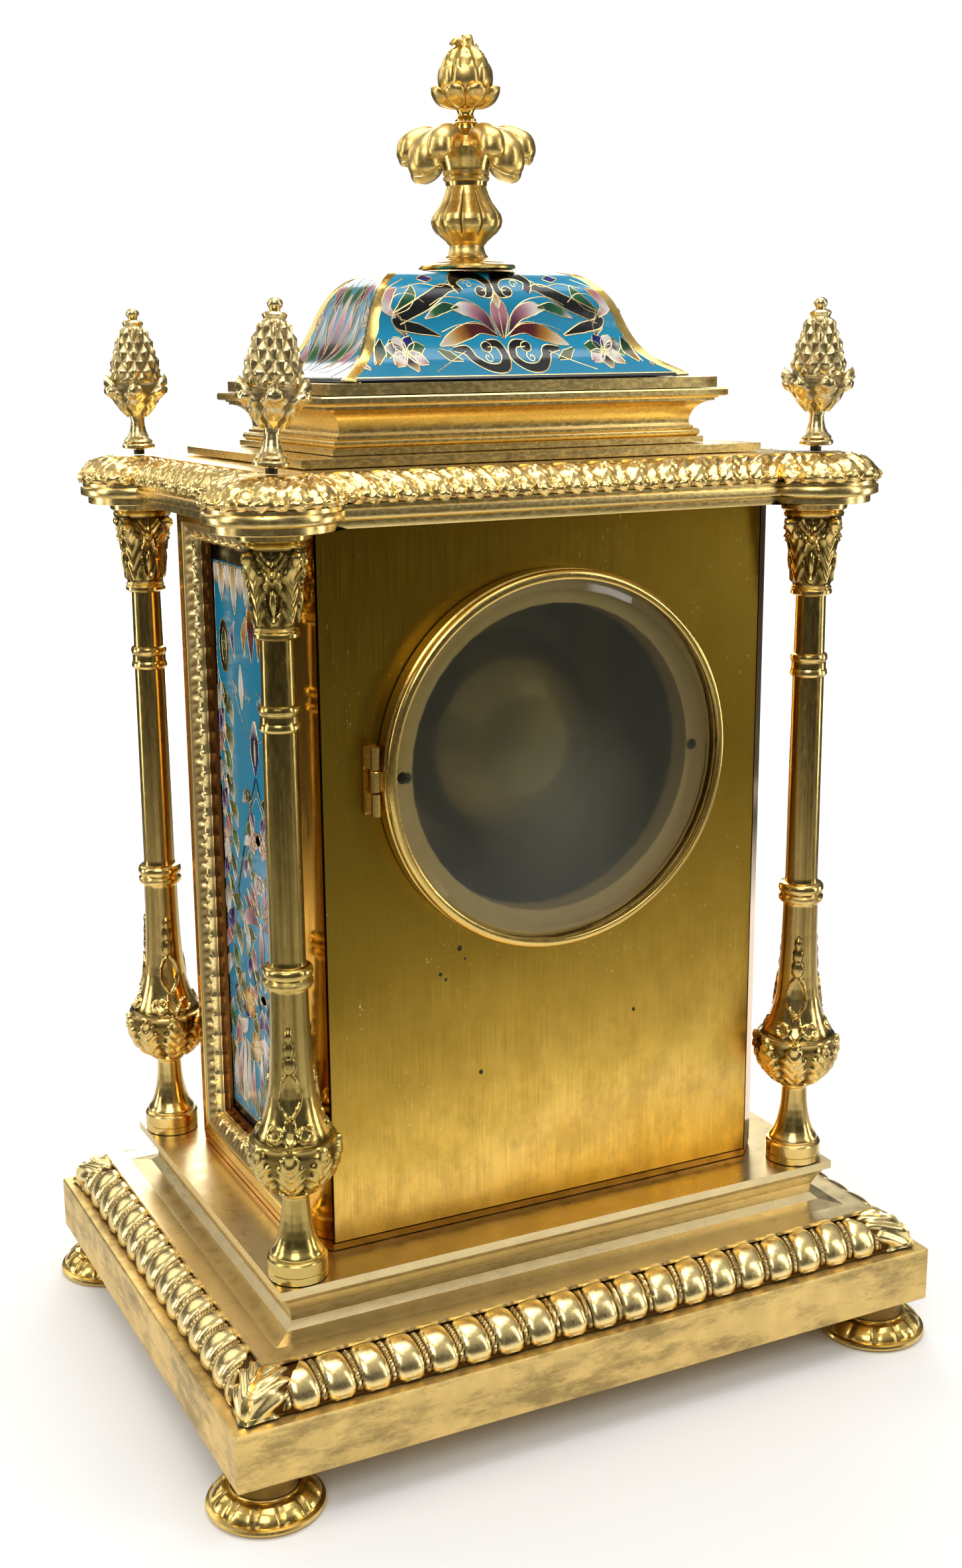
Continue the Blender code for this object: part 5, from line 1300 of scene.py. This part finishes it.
def tall_design(art, tall, half):
    """The upright panels: pendants and medallions above, a long lozenge, and sprays of leaves below."""
    top = tall - 3.6
    for k, u in enumerate((3.0, 8.6, 14.2, 19.8, 25.4, 30.0)):
        drop = (13.0, 9.5, 15.0, 9.0, 12.0, 7.0)[k]
        colours = ((TAN, CREAM, WHITE, PLUM), (WHITE, WHITE, TAN))[k % 2]
        art.leaf([(u, top), (u - 0.3, top - drop * 0.5), (u - 0.6, top - drop)], (1.8, 2.7, 2.2, 0.15),
                 colours)
    art.disc((24.6, top - 26.0), (4.3, 8.4), (WHITE, INK, INK, INK), True, 0.4)
    art.disc((24.6, top - 26.0), (2.2, 5.4), (INK, GREEN, INK), True, 0.28)
    art.spiral((24.6, top - 26.0), 1.9, 1.3, 0.6, 0.5)
    art.leaf([(0, top - 12.0), (0, top - 19.0), (0, top - 28.0)], (2.6, 3.4, 2.4, 0.15),
             (TAN, WINE, MAUVE, PLUM), False)
    art.leaf([(3.6, top - 15.0), (6.4, top - 20.0), (6.0, top - 27.0)], (1.2, 2.1, 0.15),
             (CREAM, TAN, WINE))
    art.leaf([(10.5, top - 30.0), (10.4, top - 36.0), (10.0, top - 44.0)], (0.15, 1.5, 2.1, 0.4),
             (WHITE, WHITE, WHITE, CREAM))
    art.leaf([(14.4, top - 17.0), (17.0, top - 22.0), (15.0, top - 29.0)], (0.3, 1.8, 0.2),
             (WHITE, BLUE, NAVY))
    art.spiral((17.0, top - 39.0), 3.0, 1.4, 1.0, 0.32)
    art.spiral((4.4, top - 39.5), 2.6, 1.4, 2.4, 0.32, True, -1)
    art.wire(curve_through([(17.6, top - 36.0), (12.0, top - 46.0), (4.0, top - 52.0), (0.6, top - 46.0)],
                           20), 0.32)
    art.leaf([(0, top - 46.0), (0, top - 54.0), (0, top - 63.0)], (1.0, 3.2, 3.6, 0.8),
             (WHITE, NAVY, NAVY, BLUE), False)
    art.leaf([(0, top - 52.0), (0, top - 56.0), (0, top - 60.0)], (0.2, 0.8, 0.2), (WHITE, CREAM, WHITE),
             False, 0.2)
    for k in range(7):
        v = top - 38.0 - 10.5 * k
        lean = 1.6 if k % 2 else -1.2
        art.leaf([(28.2, v), (26.0 + lean, v - 4.2), (27.6, v - 9.0)], (0.3, 1.9, 0.2),
                 ((LEAF, GREEN, WHITE), (PINK, WHITE, TAN))[k % 2])
        art.leaf([(28.6, v - 5.0), (31.0, v - 8.6), (29.0, v - 12.0)], (0.2, 1.2, 0.2),
                 ((WHITE, PINK, MAUVE), (GREEN, LEAF, OLIVE))[k % 2])
    apex, waist, foot = top - 64.0, top - 104.0, top - 144.0
    art.strap([(0.4, apex), (9.0, apex - 17.0), (20.0, waist)], (0.45, 0.5, 0.55), 26, 0.0)
    art.strap([(20.0, waist), (11.0, foot + 19.0), (1.0, foot)], (0.55, 0.5, 0.45), 26, 0.0)
    vine(art, [(31.0, top - 34.0), (27.0, top - 48.0), (28.0, top - 66.0), (24.0, top - 84.0),
               (27.0, top - 100.0)], 6.4, LEAVES)
    vine(art, [(30.0, foot + 44.0), (24.0, foot + 30.0), (27.0, foot + 14.0), (20.0, foot + 2.0)], 6.2,
         LEAVES)
    vine(art, [(1.2, apex - 4.0), (7.0, apex - 12.0), (4.0, apex - 20.0), (10.0, apex - 27.0),
               (7.0, apex - 34.0)], 4.6, LEAVES[1:])
    vine(art, [(2.0, waist - 10.0), (9.0, waist - 18.0), (6.0, waist - 28.0), (1.5, waist - 34.0)], 4.6,
         LEAVES[3:])
    vine(art, [(30.0, 4.0), (25.0, 14.0), (28.0, 26.0), (22.0, 36.0), (16.0, 44.0)], 6.6, LEAVES)
    vine(art, [(2.0, 18.0), (9.0, 26.0), (5.0, 36.0), (12.0, 44.0)], 5.2, LEAVES[2:])
    flower(art, (4.6, apex - 22.0), 3.4, (MAUVE, PINK, WHITE), 5, 0.6)
    art.spiral((9.0, apex - 7.5), 2.4, 1.3, 0.4, 0.3)
    art.wire(curve_through([(0.4, apex - 6.0), (5.6, apex - 12.0), (2.6, apex - 18.5)], 14), 0.3)
    flower(art, (0, apex - 34.0), 4.0, (NAVY, BLUE, WHITE), 6, 0.0, False)
    for k, lean in enumerate((0.0, 3.2, 6.4, 9.6)):
        root = (1.0, waist - 4.5)
        end = (4.0 + lean * 1.15, waist + 8.0 - lean * 0.9)
        middle = ((root[0] + end[0]) / 2 + 0.8, (root[1] + end[1]) / 2 - 0.6)
        art.leaf([root, middle, end], (0.2, 1.5, 1.3, 0.2),
                 ((PLUM, MAUVE, PINK, WHITE), (PLUM, PLUM, MAUVE, PINK))[k % 2])
    art.leaf([(1.0, waist - 8.0), (8.0, waist - 6.0), (13.6, waist - 9.0), (15.4, waist - 14.0)],
             (0.2, 2.4, 2.6, 1.4, 0.2), (PLUM, MAUVE, PINK, WHITE, WHITE))
    art.leaf([(0, waist - 6.0), (0, waist - 16.0), (0, waist - 27.0)], (0.3, 2.1, 1.8, 0.2),
             (WHITE, PINK, MAUVE, PLUM), False)
    art.wire(curve_through([(1.2, waist - 20.0), (7.0, waist - 24.0), (11.0, waist - 19.0),
                            (15.5, waist - 17.0)], 18), 0.3)
    art.leaf([(14.8, foot + 31.0), (12.0, foot + 25.0), (14.0, foot + 19.0)], (0.3, 2.3, 0.3),
             (GREEN, WHITE, LEAF))
    for u, v, turn in ((12.6, foot + 3.5, 0.3), (7.2, foot - 10.0, -0.2)):
        flower(art, (u, v), 5.6, (WHITE, CREAM, TAN, WINE), 6, turn)
    for k, (u, v, long) in enumerate(((0.0, foot - 3.0, 17.0), (3.6, foot - 10.0, 17.0),
                                      (0.0, foot - 20.0, 15.0))):
        art.leaf([(u, v - long), (u + 0.3, v - long * 0.5), (u, v)], (0.2, 1.7, 1.3, 0.15),
                 (PLUM, MAUVE, WHITE, WHITE), u > 0)
    for k in range(5):
        u, v = 10.0 + 4.2 * k, 4.0 + 2.2 * (k % 2)
        art.leaf([(u, v), (u + 1.8, v + 9.0), (u + 0.6 - k * 0.4, v + 19.0 + 3.0 * (k % 3))],
                 (0.3, 2.0, 1.6, 0.2), ((GREEN, PINK, WHITE), (PLUM, WHITE, PINK),
                                        (OLIVE, WHITE, WHITE))[k % 3])
    art.leaf([(0, 2.6), (0, 9.0), (0, 15.0)], (2.4, 3.0, 0.3), (GREEN, PINK, WHITE), False)
    art.leaf([(3.6, 2.6), (6.0, 8.0), (6.6, 14.5)], (1.2, 2.0, 0.2), (TAN, WINE, CREAM))
    art.wire([(half, 2.2), (half, tall - 3.8)], 0.35)
    art.wire([(-half, 2.2), (half, 2.2)], 0.35, False)
    art.wire([(-half, tall - 3.9), (half, tall - 3.9)], 0.35, False)


# ---------------------------------------------------------------- front, doors and small fittings


def front_enamel():
    """The enamel round the dial opening: a dark border, corner sprays and garlands above and below."""
    bezel_low, bezel_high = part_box("front_bezel")
    middle = (bezel_low.z + bezel_high.z) / 2
    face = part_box("front_enamel")[0].y
    z0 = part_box("front_frame")[0].z + BORDER * MM
    tall = (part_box("front_frame")[1].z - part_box("front_frame")[0].z) / MM - 2 * BORDER
    half = 60.8
    hole = 51.5
    centre = (middle - z0) / MM

    def place(u, v, lift):
        return np.stack([u * MM, face - (lift + 0.05) * MM, z0 + v * MM], 1)

    rings = 14
    angle = np.linspace(0, 2 * math.pi, 241)
    inner = np.stack([hole * np.cos(angle), centre + hole * np.sin(angle)], 1)
    reach_x, low_v, high_v = half + 2.0, -1.5, tall + 1.5
    c, s = np.cos(angle), np.sin(angle)
    limit_v = np.where(s > 0, high_v - centre, centre - low_v)
    scale = np.minimum(reach_x / np.maximum(np.abs(c), 1e-9), limit_v / np.maximum(np.abs(s), 1e-9))
    outer = np.stack([scale * c, centre + scale * s], 1)
    share = np.linspace(0, 1, rings)[:, None, None]
    grid = inner[None] * (1 - share) + outer[None] * share
    u, v = grid[..., 0].ravel(), grid[..., 1].ravel()
    edge = (np.abs(u) > half - 0.4) | (v < 1.2) | (v > tall - 1.2)
    tints = np.where(edge[:, None], INK, SKY)
    faces = [f[::-1] for f in grid_faces(rings, len(angle), False)]
    add_piece("front_ground", list(place(u, v, 0 * u)), faces, ENAMEL, "case", (), None, tints,
              60)
    art = Inlay(place)
    for side in (-1, 1):
        level = tall - 3.0 if side > 0 else 3.0
        for k in range(5):
            u0 = 14.0 + 10.0 * k
            lean = 3.0 * math.sin(k * 2.1)
            art.leaf([(u0, level), (u0 + lean * 0.4, level - side * 5.0),
                      (u0 + lean, level - side * 11.0)], (1.4, 2.2, 1.6, 0.2),
                     ((TAN, CREAM, WHITE, PLUM), (GREEN, LEAF, WHITE))[k % 2])
    upper = centre + hole
    for k, (spread, reach) in enumerate(((0.32, 16.0), (0.62, 15.0), (0.92, 12.0))):
        root = (46.0, upper - 8.0)
        end = (root[0] - reach * math.cos(spread + 0.4) * (k - 1.0) * 0.7 - 2,
               root[1] + reach * math.sin(spread))
        art.leaf([root, ((root[0] + end[0]) / 2 + 1, (root[1] + end[1]) / 2), end], (0.3, 2.2, 2.0, 0.2),
                 ((PLUM, MAUVE, PINK, WHITE), (NAVY, BLUE, WHITE), (WINE, TAN, CREAM))[k])
    base = centre - hole
    flower(art, (44.0, base + 5.0), 7.5, (PLUM, MAUVE, PINK, WHITE), 6, 0.4)
    flower(art, (0.0, base - 27.0), 8.5, (NAVY, BLUE, WHITE), 8, 0.0, False)
    art.scroll(curve_through([(12.0, base - 10.0), (24.0, base - 6.0), (36.0, base - 12.0),
                              (38.0, base - 24.0), (30.0, base - 30.0), (24.0, base - 25.0)], 30),
               (0.5, 1.4, 1.5, 1.4, 1.2), (INK, INK), True, 2.0)
    art.scroll(curve_through([(8.0, base - 44.0), (22.0, base - 48.0), (34.0, base - 42.0),
                              (44.0, base - 50.0), (50.0, base - 42.0)], 30), (0.5, 1.3, 1.4, 1.2),
               (INK, INK), True, 1.8)
    for k, (u0, v0, u1, v1) in enumerate(((10.0, base - 24.0, 22.0, base - 16.0),
                                          (10.0, base - 31.0, 22.0, base - 36.0),
                                          (40.0, base - 14.0, 52.0, base - 6.0),
                                          (42.0, base - 24.0, 54.0, base - 28.0),
                                          (30.0, base - 34.0, 42.0, base - 38.0),
                                          (48.0, base + 16.0, 56.0, base + 26.0),
                                          (52.0, base + 30.0, 57.0, base + 44.0),
                                          (55.0, base + 52.0, 57.5, base + 66.0))):
        art.leaf([(u0, v0), ((u0 + u1) / 2 + 1.5, (v0 + v1) / 2 - 1.0), (u1, v1)], (0.3, 2.2, 1.8, 0.2),
                 ((PLUM, PINK, WHITE), (GREEN, LEAF, CREAM), (NAVY, BLUE, WHITE),
                  (WINE, TAN, CREAM))[k % 4])
    art.leaf([(0, base - 4.0), (0, base - 11.0), (0, base - 17.0)], (0.4, 3.2, 0.2), (PLUM, PINK, WHITE),
             False)
    art.leaf([(0, base - 38.0), (0, base - 46.0), (0, base - 56.0)], (0.4, 3.0, 0.2),
             (GREEN, LEAF, WHITE), False)
    vine(art, [(57.0, centre + 30.0), (56.0, centre + 44.0), (50.0, centre + 54.0),
               (36.0, centre + 58.5)], 6.0, LEAVES)
    vine(art, [(58.0, centre - 26.0), (56.5, centre - 42.0), (58.0, centre - 58.0), (52.0, centre - 74.0),
               (57.0, centre - 92.0)], 6.4, LEAVES)
    vine(art, [(4.0, base - 12.0), (16.0, base - 20.0), (24.0, base - 16.0), (30.0, base - 22.0)], 5.4,
         LEAVES[1:])
    vine(art, [(6.0, base - 52.0), (16.0, base - 40.0), (28.0, base - 42.0), (40.0, base - 36.0),
               (50.0, base - 28.0)], 6.2, LEAVES[2:])
    vine(art, [(10.0, 4.0), (20.0, 9.0), (34.0, 6.0), (48.0, 12.0), (55.0, 22.0)], 5.6, LEAVES[3:])
    for radius in (52.6, 54.0):
        art.wire([(radius * math.cos(a), centre + radius * math.sin(a))
                  for a in np.linspace(0, 2 * math.pi, 120)], 0.4, False)
    art.wire([(half - 1.4, 2.2), (half - 1.4, tall - 2.2)], 0.35)
    for v0 in (2.2, tall - 2.2):
        art.wire([(-half + 1.4, v0), (half - 1.4, v0)], 0.35, False)
    art.done("front_cells")


def dial_face():
    """Numerals, minute track and centre ring on the dial, each a thin printed shape just proud of it."""
    low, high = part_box("dial")
    centre_z = (low.z + high.z) / 2
    face = low.y
    points, faces = [], []

    def bar(x0, z0, x1, z1, wide):
        """A flat printed bar between two places, given in millimetres from the dial's centre."""
        a, b = np.array([x0, z0]), np.array([x1, z1])
        d = (b - a) / np.linalg.norm(b - a)
        n = np.array([-d[1], d[0]]) * wide / 2
        first = len(points)
        for p in (a - n, b - n, b + n, a + n):
            points.append((p[0] * MM, face - 0.08 * MM, centre_z + p[1] * MM))
        faces.append((first, first + 1, first + 2, first + 3))

    def ring(radius, wide):
        count = 120
        first = len(points)
        for i in range(count):
            a = 2 * math.pi * i / count
            for r in (radius - wide / 2, radius + wide / 2):
                points.append((r * MM * math.sin(a), face - 0.08 * MM, centre_z + r * MM * math.cos(a)))
        for i in range(count):
            a, b = first + 2 * i, first + 2 * ((i + 1) % count)
            faces.append((a, a + 1, b + 1, b))

    ring(44.0, 0.3)
    ring(41.2, 0.3)
    ring(22.0, 0.4)
    for minute in range(60):
        a = minute * math.pi / 30
        wide = 0.8 if minute % 5 == 0 else 0.25
        bar(41.2 * math.sin(a), 41.2 * math.cos(a), 44.0 * math.sin(a), 44.0 * math.cos(a), wide)
    numerals = ("XII", "I", "II", "III", "IIII", "V", "VI", "VII", "VIII", "IX", "X", "XI")
    widths = {"I": 2.1, "V": 5.0, "X": 5.2}
    inner, outer = 29.4, 38.6
    for hour, text in enumerate(numerals):
        a = hour * math.pi / 6
        total = sum(widths[c] for c in text)
        at = -total / 2
        out, side = np.array([math.sin(a), math.cos(a)]), np.array([math.cos(a), -math.sin(a)])

        def stroke(s0, r0, s1, r1, wide):
            p, q = side * s0 + out * r0, side * s1 + out * r1
            bar(p[0], p[1], q[0], q[1], wide)

        for c in text:
            middle = at + widths[c] / 2
            if c == "I":
                stroke(middle, inner, middle, outer, 1.15)
            elif c == "V":
                stroke(middle - 1.8, outer, middle, inner, 1.3)
                stroke(middle + 1.8, outer, middle, inner, 0.5)
            else:
                stroke(middle - 1.9, outer, middle + 1.9, inner, 1.3)
                stroke(middle + 1.9, outer, middle - 1.9, inner, 0.5)
            at += widths[c]
        for r in (inner, outer):
            stroke(-total / 2 + 0.2, r, total / 2 - 0.2, r, 0.35)
    add_piece("dial_numerals", points, faces, PRINT, "case")
    chapter = ((0, 0.4), (6.0, 0.4), (7.4, 0.1), (7.6, 0.0))
    grid, _, _ = turned_grid(chapter, 48, 0.5)
    swap = np.stack([grid[..., 0], face - 0.05 * MM - grid[..., 2], centre_z + grid[..., 1]], 2)
    skin("dial_centre_boss", swap[::-1], GILT_BRIGHT, caps=False)


def screw_head(name, at, radius, facing, material):
    """A slotted cheese-head screw lying on a wall that faces along Y."""
    profile = ((0, 0.55), (0.8, 0.55), (radius * 0.8, 0.5), (radius - 0.15, 0.3), (radius, 0.0))
    grid, _, _ = turned_grid(profile, 40, 0.2)
    turn = 0.5  # the slot's angle
    across = grid[..., 0] * math.sin(turn) - grid[..., 1] * math.cos(turn)
    slot = hump(across / MM, 0.32) * 0.35 * MM
    up = grid[..., 2] - slot * (grid[..., 2] > 0.2 * MM)
    world = np.stack([at[0] * MM + grid[..., 0], at[1] * MM + facing * up, at[2] * MM + grid[..., 1]], 2)
    if facing > 0:
        world = world[:, ::-1]
    # grime and painted shade in the slot
    skin(name, world[::-1], material, caps=False, grime_and_shade=0.8 * hump(across / MM, 0.32))


def fittings():
    """The two dark strap screws in the seat ring behind the rear glass."""
    middle = (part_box("rear_bezel")[0].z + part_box("rear_bezel")[1].z) / 2 / MM
    ring_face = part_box("rear_mount_ring")[1].y / MM
    for name, x, size in (("strap_screw_right", 48.3, 1.7), ("strap_screw_left", -48.3, 1.7)):
        screw_head(name, (x, ring_face + 0.02, middle - 0.6), size, 1, DARK)


def closed_grid(grid, points, faces):
    """Adds a tube of points, closed at both ends, to the lists."""
    rows, columns = grid.shape[:2]
    first = len(points)
    points += list(grid.reshape(-1, 3))
    faces += grid_faces(rows, columns, True, first)
    for row in (0, rows - 1):
        faces.append(tuple(first + row * columns + j for j in range(columns)))


def bezels():
    """The door rims: a turned ring with a rolled edge, an arm and the hinge's middle knuckle."""
    profile = [(54.6, 0.0), (56.7, 0.0), (56.7, 4.6), (56.2, 4.9), (56.2, 5.3), (56.6, 5.8), (56.7, 6.5),
               (56.4, 7.3), (55.8, 7.9), (55.0, 8.1), (54.4, 8.0), (54.2, 7.6), (53.8, 7.5), (53.8, 7.1),
               (54.6, 7.1)]
    around = np.linspace(0, 2 * math.pi, 161)[:-1]
    for where, side in (("rear", 1), ("front", -1)):
        low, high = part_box(where + "_bezel")
        middle = (low.z + high.z) / 2
        near = low.y if side > 0 else high.y
        ring = np.array([[((r * math.cos(a)) * MM, near + side * h * MM, middle + r * math.sin(a) * MM)
                          for r, h in profile] for a in around])
        points = list(ring.reshape(-1, 3))
        count = len(profile)
        faces = []
        for i in range(len(around)):
            j = (i + 1) % len(around)
            faces += [(i * count + k, j * count + k, j * count + (k + 1) % count,
                       i * count + (k + 1) % count) for k in range(count)]
        hinge_low, hinge_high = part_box(where + "_hinge")
        x, y, radius = high.x - 1.5 * MM, side * 57.0 * MM, 1.5 * MM
        half = (hinge_high.z - hinge_low.z) / 6 - 0.15 * MM
        turn = np.linspace(0, 2 * math.pi, 33)[:-1]
        levels = ((0.8, -half), (1.0, -half + 0.3 * MM), (1.0, half - 0.3 * MM), (0.8, half))
        closed_grid(np.array([[(x + radius * k * math.cos(a), y + radius * k * math.sin(a), middle + z)
                               for a in turn] for k, z in levels]), points, faces)
        square = [(1, 1), (-1, 1), (-1, -1), (1, -1)]
        closed_grid(np.array([[(at, y + 0.9 * MM * a, middle + (half - 0.4 * MM) * b) for a, b in square]
                              for at in (55.6 * MM, x)]), points, faces)
        piece = add_piece(where + "_bezel_turned", points, faces, GILT_BRIGHT, where + "_door",
                          [where + "_bezel"])
        face_outwards(piece)


def pinholes():
    """A loose line of small drilled marks low on the back panel."""
    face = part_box("back_panel")[1].y
    points, faces = [], []
    for x, up, size in ((20.3, 159.0, 0.7), (26.8, 152.5, 0.6), (30.8, 146.5, 0.8), (37.2, 139.3, 0.6),
                        (35.5, 137.4, 0.5), (29.0, 143.0, 0.4), (-30.0, 117.0, 0.6), (24.0, 106.0, 0.7),
                        (12.0, 152.0, 0.4)):
        first = len(points)
        for i in range(14):
            a = 2 * math.pi * i / 14
            points.append(((x + size * math.cos(a)) * MM, face + 0.03 * MM,
                           (up + size * 1.1 * math.sin(a)) * MM))
        points.append((x * MM, face + 0.015 * MM, up * MM))
        faces += [(first + (i + 1) % 14, first + i, first + 14) for i in range(14)]
    add_piece("back_pinholes", points, faces, DARK, "case")


# ---------------------------------------------------------------- stage


def floor_material():
    """A plain pale floor. It glows a little far from the lamps, to stay as pale as it is near them.

    For reflections and bounced light it ends in the dark, as a table top does in a room.
    """
    s = Shader("floor")
    x, y = s.axis("X"), s.axis("Y")
    away = s.maths("SQRT", s.maths("ADD", s.maths("MULTIPLY", x, x), s.maths("MULTIPLY", y, y)))
    seen = s.nodes.new("ShaderNodeLightPath").outputs["Is Camera Ray"]
    glow = s.maths("MULTIPLY", s.levels(away, 0.3, 1.6, 0.0, 0.85), seen)
    patch = s.levels(s.noise(0.30, 1.0), 0.35, 0.65, -0.35, 0.35)
    fade = s.levels(s.maths("ADD", away, patch), 0.25, 0.8)
    paint = s.mix(s.maths("MULTIPLY", fade, s.maths("SUBTRACT", 1.0, seen)), (0.86, 0.86, 0.855),
                  (0.07, 0.065, 0.05))
    return s.finish(base_color=paint, roughness=0.6, specular_ior_level=0.1,
                    emission_color=(1.0, 1.0, 0.995), emission_strength=glow)


def stage():
    """Camera, plain pale floor and soft studio light."""
    camera = bpy.data.objects.new("camera", bpy.data.cameras.new("camera"))
    camera.location = CAMERA_AT
    camera.rotation_euler = [math.radians(a) for a in CAMERA_TURN]
    camera.data.lens = CAMERA_LENS
    camera.data.sensor_width = CAMERA_SENSOR
    camera.data.shift_x, camera.data.shift_y = CAMERA_SHIFT
    camera.data.clip_start = 0.01
    bpy.context.scene.collection.objects.link(camera)
    bpy.context.scene.camera = camera

    mesh = bpy.data.meshes.new("floor")
    ring = [(4.0 * math.cos(a), 4.0 * math.sin(a), 0.0)
            for a in np.linspace(0, 2 * math.pi, 64, endpoint=False)]
    mesh.from_pydata(ring, [], [list(range(64))])
    floor = bpy.data.objects.new("floor", mesh)
    mesh.materials.append(floor_material())
    bpy.context.scene.collection.objects.link(floor)

    # name, place, width, height, watts and colour; each faces the middle of the object
    lights = (("key", (0.75, 1.15, 1.25), 0.8, 0.8, 9.0, (1.0, 0.98, 0.95)),
              ("overhead", (-0.1, 0.1, 1.5), 1.1, 1.1, 12.0, (1.0, 1.0, 1.0)),
              ("left_strip", (1.25, -0.15, 0.75), 0.25, 1.2, 4.5, (1.0, 0.98, 0.94)),
              ("right_strip", (-1.0, 1.0, 0.65), 0.22, 1.2, 4.0, (1.0, 0.99, 0.97)),
              ("dial_side", (-0.5, -1.3, 0.9), 0.9, 0.9, 9.0, (1.0, 1.0, 1.0)),
              ("far_left", (0.60, -1.10, 0.85), 0.7, 0.7, 2.2, (1.0, 0.98, 0.94)),
              ("low_left", (0.75, -0.45, 0.17), 0.10, 0.32, 1.0, (1.0, 0.97, 0.90)),
              ("low_right", (-0.80, 0.28, 0.17), 0.08, 0.32, 0.9, (1.0, 0.97, 0.90)),
              ("low_dial", (-0.35, -0.85, 0.17), 0.12, 0.32, 1.0, (1.0, 0.98, 0.94)))
    for name, at, wide, tall, power, colour in lights:
        lamp = bpy.data.lights.new(name, "AREA")
        lamp.shape = "RECTANGLE"
        lamp.size, lamp.size_y = wide, tall
        lamp.energy = power
        lamp.color = colour
        obj = bpy.data.objects.new(name, lamp)
        obj.location = at
        obj.rotation_euler = (Vector((0, 0, 0.2)) - Vector(at)).to_track_quat("-Z", "Y").to_euler()
        obj.visible_camera = False
        bpy.context.scene.collection.objects.link(obj)

    world = bpy.data.worlds.new("studio")
    world.use_nodes = True
    bpy.context.scene.world = world
    nodes, links = world.node_tree.nodes, world.node_tree.links
    coords = nodes.new("ShaderNodeTexCoord")
    parts = nodes.new("ShaderNodeSeparateXYZ")
    ramp = nodes.new("ShaderNodeValToRGB")
    stops = ((0.0, 0.06), (0.49, 0.06), (0.52, 0.14), (0.58, 0.05), (0.68, 0.10), (0.80, 0.35), (1.0, 0.55))
    while len(ramp.color_ramp.elements) < len(stops):
        ramp.color_ramp.elements.new(0.5)
    for element, (at, value) in zip(ramp.color_ramp.elements, stops):
        element.position = at
        element.color = (value, value, value * 0.98, 1.0)
    shift = nodes.new("ShaderNodeMath")
    shift.operation = "MULTIPLY_ADD"
    shift.inputs[1].default_value = 0.5
    shift.inputs[2].default_value = 0.5
    seen = nodes.new("ShaderNodeLightPath")
    mix = nodes.new("ShaderNodeMix")
    mix.data_type = "RGBA"
    mix.inputs[7].default_value = (1.0, 1.0, 1.0, 1.0)
    back = nodes["Background"]
    links.new(coords.outputs["Generated"], parts.inputs["Vector"])
    links.new(parts.outputs["Z"], shift.inputs[0])
    links.new(shift.outputs["Value"], ramp.inputs["Fac"])
    links.new(seen.outputs["Is Camera Ray"], mix.inputs["Factor"])
    links.new(ramp.outputs["Color"], mix.inputs[6])
    links.new(mix.outputs[2], back.inputs["Color"])
    back.inputs["Strength"].default_value = 1.0
    bpy.context.scene.view_settings.view_transform = "Standard"


def dress(names, material):
    """Gives kept CAD nodes a better material."""
    for name in names:
        obj = frame["nodes"][name]
        obj.data.materials.clear()
        obj.data.materials.append(material)


def keep_cad():
    nodes = frame["nodes"]
    dress([n for n in nodes if n.startswith(("attic", "top_slab", "cornice"))], GILT_ATTIC)
    dress(["base_slab", "gadroon_moulding"], GILT_FLAT)
    dress(["socle"], GILT_SOCLE)
    dress(["case_frame"], COPPERY)
    dress(["back_panel"], BACK)
    dress(["front_frame", "side_frame_left", "side_frame_right"], GILT_BRIGHT)
    dress(["rear_bezel", "front_bezel", "rear_hinge", "front_hinge"], GILT_BRIGHT)
    dress(["rear_mount_ring"], SEAT)
    dress(["front_mount_ring"], GILT_BRIGHT)
    # the CAD enamel plates under the enamel sheets take the dark, painted-shade reveal gilt
    dress(["front_enamel", "side_enamel_left", "side_enamel_right"], SHADED_REVEAL)
    dress(["rear_glass"], SMOKED)
    dress(["front_glass"], GLASS)
    dress(["dial"], DIAL)
    dress(["hour_hand", "minute_hand"], BLUED)
    dress(["anchor", "hammer", "going_winding_arbor", "strike_winding_arbor"], STEEL)
    dress(["movement_front_plate", "movement_back_plate", "going_barrel", "strike_barrel", "centre_wheel",
           "third_wheel", "escape_wheel", "minute_wheel", "pendulum"], BRASS)
    dress(["bell"], BRONZE)


stage()
keep_cad()
columns()
feet()
top_finial()
pineapples()
base_moulding()
cornice()
attic_moulding()
side_borders()
dome()
side_enamel()
front_enamel()
dial_face()
bezels()
fittings()
pinholes()
